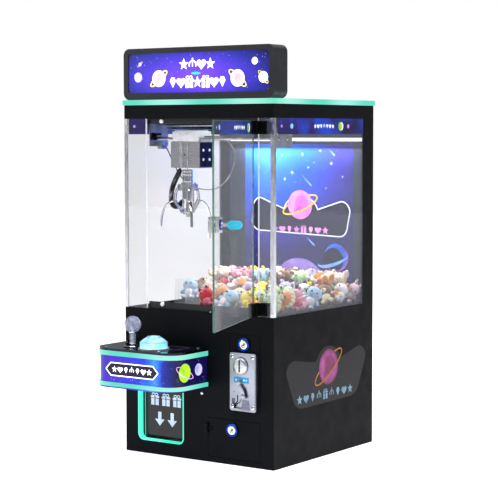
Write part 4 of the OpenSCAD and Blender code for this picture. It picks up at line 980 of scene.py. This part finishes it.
planet(bm, wall, (6, 527), 33, "pink", "yellow", ink, 1.5, 22, 0.11, layer=2, spots="deepPink")
signRow(bm, wall, [starSign, heartSign, diamond, starSign, gift, diamond, heartSign, starSign], (6, 470), 19, 19.5,
        ink["pink"], 2)
planet(bm, wall, (102, 411), 33, "night", None, ink, layer=1)
stamp(bm, wall, moon(68)[0], (102, 411), 225, ink["blue"], 3)
stamp(bm, wall, strip(arc(0, 0, 32, 32, -150, 40, 30), lambda t: 0.6 + 2.2 * math.sin(math.pi * t)), (102, 411), 0,
      ink["deepPink"], 5)
stamp(bm, wall, strip(arc(0, 0, 45, 13, 170, 330, 24), lambda t: 0.8 + 7 * math.sin(math.pi * t)), (98, 408), 20,
      ink["paleBlue"], 4)
stamp(bm, wall, arc(0, 0, 75, 75, 0, 180, 40), (3, 330), 0, ink["lilac"], 1)
stamp(bm, wall, arc(0, 0, 60, 60, 20, 160, 30), (10, 318), 0, ink["pink"], 2)
for at, turn, size in (((98, 640), -40, 22), ((36, 571), -40, 34), ((44, 436), -38, 26), ((-60, 610), -40, 18)):
    stamp(bm, wall, [(-size, 1.4), (-size, 1.8), (0, 2.0), (1.2, 0), (0, -1.6)], at, turn, ink["paleBlue"], 1)
for x, z, r in ((-16, 600, 7), (-36, 585, 6), (12, 642, 5), (90, 622, 6), (60, 650, 4), (-44, 640, 4), (120, 592, 4),
                (76, 566, 3), (128, 470, 3), (-70, 560, 4), (28, 612, 4)):
    stamp(bm, wall, star(4, r, r * 0.16), (x, z), 0, ink["white"], 1)
starField(bm, wall, (-140, 140, 380, 655), 110, 3, ink["white"], 0.35, 0.9)
finishPiece("backdropArt", bm, [inks[n] for n in names], "cabinet", 0)

# printed strips along the tops of the panes
stripFilm = spacePrint("paneStripFilm", [(0.0, "#17123A"), (0.3, "#241A5C"), (0.55, "#1B3FC0"), (1.0, "#1A1440")],
                       "Y", (-0.21, 0.19), 12, 0.12, 420)
doorFilm = spacePrint("doorStripFilm", [(0.0, "#141438"), (0.4, "#1C2E8C"), (0.7, "#15337C"), (1.0, "#14143C")],
                      "Y", (-0.47, -0.2), 12, 0.1, 420)
names = ("white", "green", "lilac", "paleBlue")
ink = slots(*names)
row = [starSign, heartSign, diamond, claw, diamond, heartSign, starSign]
leftSide = facing((-halfSide, 0, 0), (0, -1, 0), (0, 0, 1))
strips = [
    # name, plane, body, ends, film, top, middle of the row of signs, place of the last disc after it
    ("rightStrip", sideAt(halfSide), "cabinet", (-181, 151), stripFilm, headerZ, -7, 96),
    ("leftStrip", leftSide, "cabinet", (-151, 181), stripFilm, headerZ, 0, None),
    ("leftFrontStrip", frontAt(-halfSide), "cabinet", (-181, -137), stripFilm, headerZ, None, None),
    ("doorStrip", swing @ frontAt(-halfSide), "glass_door", (-134, 149), doorFilm, 714.5, 41, 92),
]
for name, plane, body, (u0, u1), film, high, rowAt, lastDisc in strips:
    low = 688
    middle = (low + high) / 2
    bm = bmesh.new()
    stamp(bm, plane, [(u0, low), (u1, low), (u1, high), (u0, high)])
    finishPiece(name, bm, [film], body, 0)
    bm = bmesh.new()
    if rowAt is not None:
        signRow(bm, plane, row, (rowAt, middle), 11, 11.5, ink["white"])
        stamp(bm, plane, disc(5.4, 26), ((u0 * 0.62 + u1 * 0.38) - 75, middle), 0, ink["paleBlue"], 1)
    stamp(bm, plane, disc(3.2, 20), (u0 + 14, middle), 0, ink["lilac"], 1)
    if lastDisc:
        moonAt = (rowAt + 66, middle)
        crescent = arc(0, 0, 9.7, 9.7, -60, 60, 18) + arc(-5, 0, 9.6, 9.4, 55, -55, 16)
        stamp(bm, plane, disc(9.5, 34), moonAt, 0, ink["green"], 1)
        stamp(bm, plane, crescent, moonAt, 0, ink["white"], 2)
        stamp(bm, plane, disc(4.6, 24), (rowAt + lastDisc, middle), 0, ink["lilac"], 1)
    starField(bm, plane, (u0 + 4, u1 - 4, low + 3, high - 3), 16, 11, ink["paleBlue"], 0.3, 0.7)
    finishPiece(name + "Art", bm, [inks[n] for n in names], body, 0)

# the transfer on the cabinet's right side
names = ("dimNight", "dimPink", "dimRose", "dimOrange", "dimCyan")
ink = slots(*names)
cheek = sideAt(halfSide)
bm = bmesh.new()
plate = (arc(12, 184, 54, 52, 25, 155, 14) + arc(-118, 196, 32, 22, 95, 200, 8) + arc(-84, 138, 40, 24, 200, 268, 8)
         + arc(96, 142, 40, 26, 272, 340, 8) + arc(132, 200, 32, 24, -20, 85, 8))
stamp(bm, cheek, plate, ink=ink["dimNight"])
planet(bm, cheek, (12, 191), 38, "dimPink", "dimOrange", ink, 1.6, 32, 0.09, layer=1, spots="dimRose")
stamp(bm, cheek, disc(38, 44), (12, 191), 0, ink["dimRose"], 3, hollow=4)
signRow(bm, cheek, [starSign, heartSign, diamond, claw, gift, claw, diamond, heartSign, starSign], (0, 133), 22, 25,
        ink["dimCyan"], 1)
starField(bm, cheek, (-80, 100, 150, 175), 18, 21, ink["dimPink"], 0.4, 0.9, 1)
finishPiece("cheekTransfer", bm, [inks[n] for n in names], "cabinet", 0)

# picture signs on the flap: gifts, and arrows down to the outlet
bm = bmesh.new()
flapPlane = frontAt(-179.5)
signRow(bm, flapPlane, [gift, gift, gift], (-97, 116), 27, 30, 0, 0)
signRow(bm, flapPlane, [downArrow, downArrow], (-97, 74), 32, 34, 0, 0)
finishPiece("flapSigns", bm, [inks["flapGrey"]], "outlet_flap", 0)

# coin plate: label, slot disc and its rim, screws, a darker metal strip and patch as painted shade on the right bevel
# and in the return pocket, and black marks as painted shade in the slot and recesses
bm = bmesh.new()
plateFace = frontAt(-203)
stamp(bm, plateFace, roundRect(38, 12.5, 0.8), at=(119, 182), ink=0, thick=0.15)
for k, x in enumerate((106, 112.5, 126, 132)):
    stamp(bm, plateFace, star(4, 2.4, 0.9) if k % 2 else disc(1.9, 16), (x, 182), 0, 1, 1)
finishPiece("coinLabel", bm, [inks["labelBlue"], inks["white"]], "coin_door_leaf", 0)
bm = bmesh.new()
slotDisc = spot(frontAt(-205), 117, 211)
lathe(bm, [(0, 2.6), (11.5, 2.5), (14.6, 2.0), (16.2, 0.9), (16.6, 0)], slotDisc, 48, 1)
lathe(bm, [(16.8, 0), (17.4, 0.5), (18.4, 0.4), (18.8, -0.6)], slotDisc, 48)
plateScrews = [(x, z) for x in (95.5, 147) for z in (126, 230)]
for x, z in plateScrews:
    lathe(bm, [(0, 1.5), (2.6, 1.4), (3.9, 0.7), (4.4, 0), (4.4, -1)], spot(plateFace, x, z), 24, 2)
# flat darker strip on the right edge and patch at the foot: painted shade of the bevel and of the return pocket
stamp(bm, plateFace, [(153.2, 122), (156.6, 122), (156.6, 234), (153.2, 234)], ink=3, thick=0.35)
stamp(bm, plateFace, [(118, 119.5), (141, 119.5), (138, 141), (122, 141)], ink=3, thick=0.3)
finishPiece("coinPlateTrim", bm, [castZinc, discAlu, chromeSteel, paintedShadeZinc], "coin_door_leaf", 35)
bm = bmesh.new()
# black marks: painted shade in the coin slot, the curved lever slot, a small hole and the screw crosses
stamp(bm, frontAt(-207.55), roundRect(3.6, 26, 1.4), at=(117, 211), thick=0.2)
stamp(bm, frontAt(-203.05), strip([(99, 129), (106, 132.5), (110, 138), (109.5, 150)], 2.6), thick=0.2)
stamp(bm, frontAt(-203.05), disc(1.1, 14), at=(101, 156), thick=0.2)
for x, z in plateScrews:
    for turned in (20, 110):
        stamp(bm, frontAt(-204.45), roundRect(4.6, 1.1, 0.3), (x, z), turned, thick=0.1)
finishPiece("coinSlots", bm, [paintedShadeBlack], "coin_door_leaf", 0)
bm = bmesh.new()
leverPlane = spot(frontAt(-207.4), 116.6, 177)
stamp(bm, leverPlane, strip([(-3, 0), (1, -7), (8, -15), (11, -23), (11, -28)], lambda t: 8.5 - 1.5 * t), thick=1.6)
stamp(bm, leverPlane, disc(5.4, 26), at=(10.5, -28), thick=2.2)
stamp(bm, leverPlane, disc(5.2, 26), at=(-2, 0), thick=1.9)
softenEdges(bm, 60, 0.4)
finishPiece("returnLeverGrip", bm, [castZinc], "return_lever", 35)

# joystick collar and the push button's clear lens
bm = bmesh.new()
stickAxis = Matrix.Translation((-120.5, -262, 0))
lathe(bm, [(13.2, 242), (13.2, 243), (14.6, 243.6), (17.6, 243.2), (18.8, 242)], stickAxis, 40)
finishPiece("joystickBezel", bm, [chromeSteel], "cabinet", 35)
bm = bmesh.new()
lathe(bm, [(6.4, 247), (7.3, 247.4), (7.3, 249), (6.4, 249.4)], stickAxis, 28)
lathe(bm, [(4.2, 268), (6.8, 268.5), (7.6, 270), (7.6, 272), (6.6, 273.2)], stickAxis, 28)
finishPiece("joystickRings", bm, [chromeSteel], "joystick", 35)
bm = bmesh.new()
buttonAxis = Matrix.Translation((-58.5, -269, 0))
rim = [(35.9 * math.sin(t), 233.1 + 35.9 * math.cos(t)) for t in [math.radians(a) for a in range(4, 50, 5)]]
lathe(bm, [(0, 269.0)] + rim + [(27.4, 255.6), (28.1, 256.3)], buttonAxis, 48)
lathe(bm, [(13, 266.2), (13.6, 267.3), (15, 267.1), (15.8, 265.6)], buttonAxis, 40)
lathe(bm, [(26.4, 256.4), (28.6, 256.9), (29.4, 255.6), (29.2, 253.6)], buttonAxis, 48)
finishPiece("buttonLens", bm, [clearResin], "push_button", 60)
print("artwork ready")


# the soft toys: small stuffed animals of no known kind, one on each of the CAD's loose balls
toySet = {"columns": 7, "span": 191, "back": 187.4, "gap": 0.4, "guard": -38.5, "guardBack": -72}
toyRoom = (-190.6, 190.6), (-186, 187.6), (deckZ + 0.3, 999)  # how far a toy may reach along X, Y and Z
plushes = {name: shortPlush(name + "Plush", dark, light) for name, dark, light in (
    ("white", "#D9D4D6", "#F6F2F3"), ("cream", "#D8C9A8", "#F0E6CC"), ("pink", "#D98FA8", "#F2B8C8"),
    ("palePink", "#E2B9C4", "#F6DDE2"), ("rose", "#A8485C", "#C8687A"), ("brown", "#6E4A30", "#966B48"),
    ("green", "#8FBF6A", "#BFE09A"), ("paleGreen", "#B4C8A0", "#D4E2C0"), ("blue", "#86B4D8", "#B8D8F0"),
    ("yellow", "#D8C81E", "#F2E640"), ("orange", "#C87A2A", "#E8A04A"), ("black", "#1A181C", "#2C2A30"),
    ("lilac", "#A898D0", "#CBBEE8"), ("red", "#A02028", "#C83840"))}
beadBlack = mouldedPlastic("blackBead", "#050506", "#0C0C0E", 0.08, 0.15)
toyKinds = {
    # main fur, second fur, ears, has a round muzzle
    "pig": ("pink", "rose", "flap", True), "bunny": ("palePink", "white", "long", False),
    "bear": ("brown", "cream", "round", True), "chick": ("yellow", "orange", "none", True),
    "lamb": ("cream", "palePink", "flap", True), "panda": ("white", "black", "round", True),
    "frog": ("green", "paleGreen", "eyes", True), "cat": ("white", "orange", "point", False),
    "lion": ("orange", "cream", "mane", True), "whale": ("blue", "white", "none", False),
    "mouse": ("lilac", "pink", "round", False), "star": ("yellow", "yellow", "star", False),
    "pear": ("paleGreen", "green", "stalk", False), "crab": ("red", "rose", "eyes", False),
}


def blob(bm, at, size, ink, turn=0.0, axis="X", detail=3):
    made = bmesh.ops.create_icosphere(bm, subdivisions=detail, radius=1)["verts"]
    bmesh.ops.scale(bm, vec=size, verts=made)
    if turn:
        bmesh.ops.rotate(bm, cent=(0, 0, 0), matrix=Matrix.Rotation(math.radians(turn), 3, axis), verts=made)
    bmesh.ops.translate(bm, vec=at, verts=made)
    for f in newFaces(made):
        f.material_index = ink


def makeToy(name, kind, centre, yaw, lean, roll, size, seed):
    fur, second, ears, muzzle = toyKinds[kind]
    bm = bmesh.new()
    blob(bm, (0, 0.02, -0.36), (0.56, 0.5, 0.56), 0)  # belly
    blob(bm, (0, -0.36, -0.34), (0.36, 0.2, 0.38), 1, detail=2)
    blob(bm, (0, -0.06, 0.34), (0.6, 0.52, 0.52), 0)  # head
    for s in (-1, 1):
        blob(bm, (s * 0.5, -0.22, -0.24), (0.3, 0.19, 0.18), 0, s * 32, "Y", 2)
        blob(bm, (s * 0.32, -0.42, -0.74), (0.24, 0.34, 0.2), 0, detail=2)
        blob(bm, (s * 0.32, -0.7, -0.72), (0.16, 0.1, 0.15), 1, detail=2)
        blob(bm, (s * 0.22, -0.56, 0.42), (0.065, 0.05, 0.075), 2, detail=2)
        if ears == "round":
            blob(bm, (s * 0.42, 0.02, 0.76), (0.22, 0.12, 0.22), 1 if kind == "panda" else 0, detail=2)
        elif ears == "long":
            blob(bm, (s * 0.24, 0.06, 0.92), (0.14, 0.1, 0.42), 0, s * 14, "Y", 2)
            blob(bm, (s * 0.25, -0.02, 0.94), (0.07, 0.06, 0.3), 1, s * 14, "Y", 2)
        elif ears == "flap":
            blob(bm, (s * 0.52, -0.06, 0.6), (0.12, 0.16, 0.26), 1, s * 40, "Y", 2)
        elif ears == "point":
            blob(bm, (s * 0.36, -0.02, 0.76), (0.15, 0.1, 0.24), 1, s * 20, "Y", 2)
        elif ears == "eyes":
            blob(bm, (s * 0.28, -0.2, 0.8), (0.2, 0.2, 0.2), 1, detail=2)
            blob(bm, (s * 0.28, -0.37, 0.83), (0.08, 0.06, 0.09), 2, detail=2)
    if muzzle:
        blob(bm, (0, -0.54, 0.24), (0.24, 0.15, 0.17), 1, detail=2)
        blob(bm, (0, -0.69, 0.29), (0.07, 0.05, 0.05), 2, detail=1)
    else:
        blob(bm, (0, -0.58, 0.3), (0.05, 0.04, 0.035), 2, detail=1)
    if ears == "mane":
        for k in range(12):
            t = math.radians(30 * k)
            blob(bm, (0.6 * math.cos(t), 0.02, 0.34 + 0.55 * math.sin(t)), (0.19, 0.2, 0.19), 1, detail=2)
    if ears == "star":
        for k in range(5):
            t = math.radians(90 + 72 * k)
            blob(bm, (0.62 * math.cos(t), 0, 0.3 + 0.6 * math.sin(t)), (0.24, 0.2, 0.24), 0, detail=2)
    if ears == "stalk":
        blob(bm, (0, 0, 0.92), (0.06, 0.06, 0.16), 1, detail=1)
        blob(bm, (0.14, 0, 0.98), (0.16, 0.05, 0.08), 1, detail=1)
    for v in bm.verts:  # stuffing lumps
        v.co += 0.035 * noise.noise_vector(v.co * 3.1 + Vector((seed, seed * 0.7, 0)))
    reach = max(v.co.length for v in bm.verts)
    bmesh.ops.scale(bm, vec=(size / reach,) * 3, verts=bm.verts)
    place = Matrix.Translation(centre) @ Matrix.Rotation(math.radians(yaw), 4, "Z") @ Matrix.Rotation(
        math.radians(lean), 4, "X") @ Matrix.Rotation(math.radians(roll), 4, "Y")
    bmesh.ops.transform(bm, matrix=place, verts=bm.verts)
    move = Vector()
    for axis, (low, high) in enumerate(toyRoom):  # a toy that would reach through the glass or the deck is set back
        values = [v.co[axis] for v in bm.verts]
        move[axis] = max(0, low - min(values)) - max(0, max(values) - high)
    bmesh.ops.translate(bm, vec=move, verts=bm.verts)
    toy = finishPiece(name, bm, [plushes[fur], plushes[second], beadBlack], "cabinet", 60, outward=False)
    return toy


def toyPlaces():
    s = toySet
    pitch = 2 * s["span"] / s["columns"]
    r = pitch / 2 - s["gap"]
    base = deckZ + 0.3 + r
    places = []
    for j in range(7):
        y = s["back"] - r - s["gap"] - j * pitch
        left = s["guard"] + 0.5 if y - r < s["guardBack"] + 1 else -s["span"]
        for i in range(int((s["span"] - left) // pitch)):
            places.append((s["span"] - (i + 0.5) * pitch, y, base))
    lift = math.sqrt((2 * r + 0.3) ** 2 - pitch ** 2 / 2)
    for j in range(2):
        for i in range(s["columns"] - 1):
            places.append((s["span"] - (i + 1) * pitch, s["back"] - r - s["gap"] - (j + 0.5) * pitch, base + lift))
    return places, r


places, toyR = toyPlaces()
rng = random.Random(41)
kinds = list(toyKinds)
for i, place in enumerate(places):
    kind = kinds[(i * 5 + rng.randrange(3)) % len(kinds)]
    upper = place[2] > deckZ + 50
    yaw = rng.uniform(-20, 90) if place[0] > 120 else rng.uniform(-70, 90)
    lean = rng.uniform(-85, -55) if upper else rng.uniform(-70, 15)
    place = (place[0], place[1], place[2] - 8) if upper else place
    makeToy(f"softToy{i + 1:02d}", kind, place, yaw, lean, rng.uniform(-50, 50), toyR * 1.24, i * 1.7)
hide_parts("soft_toys")
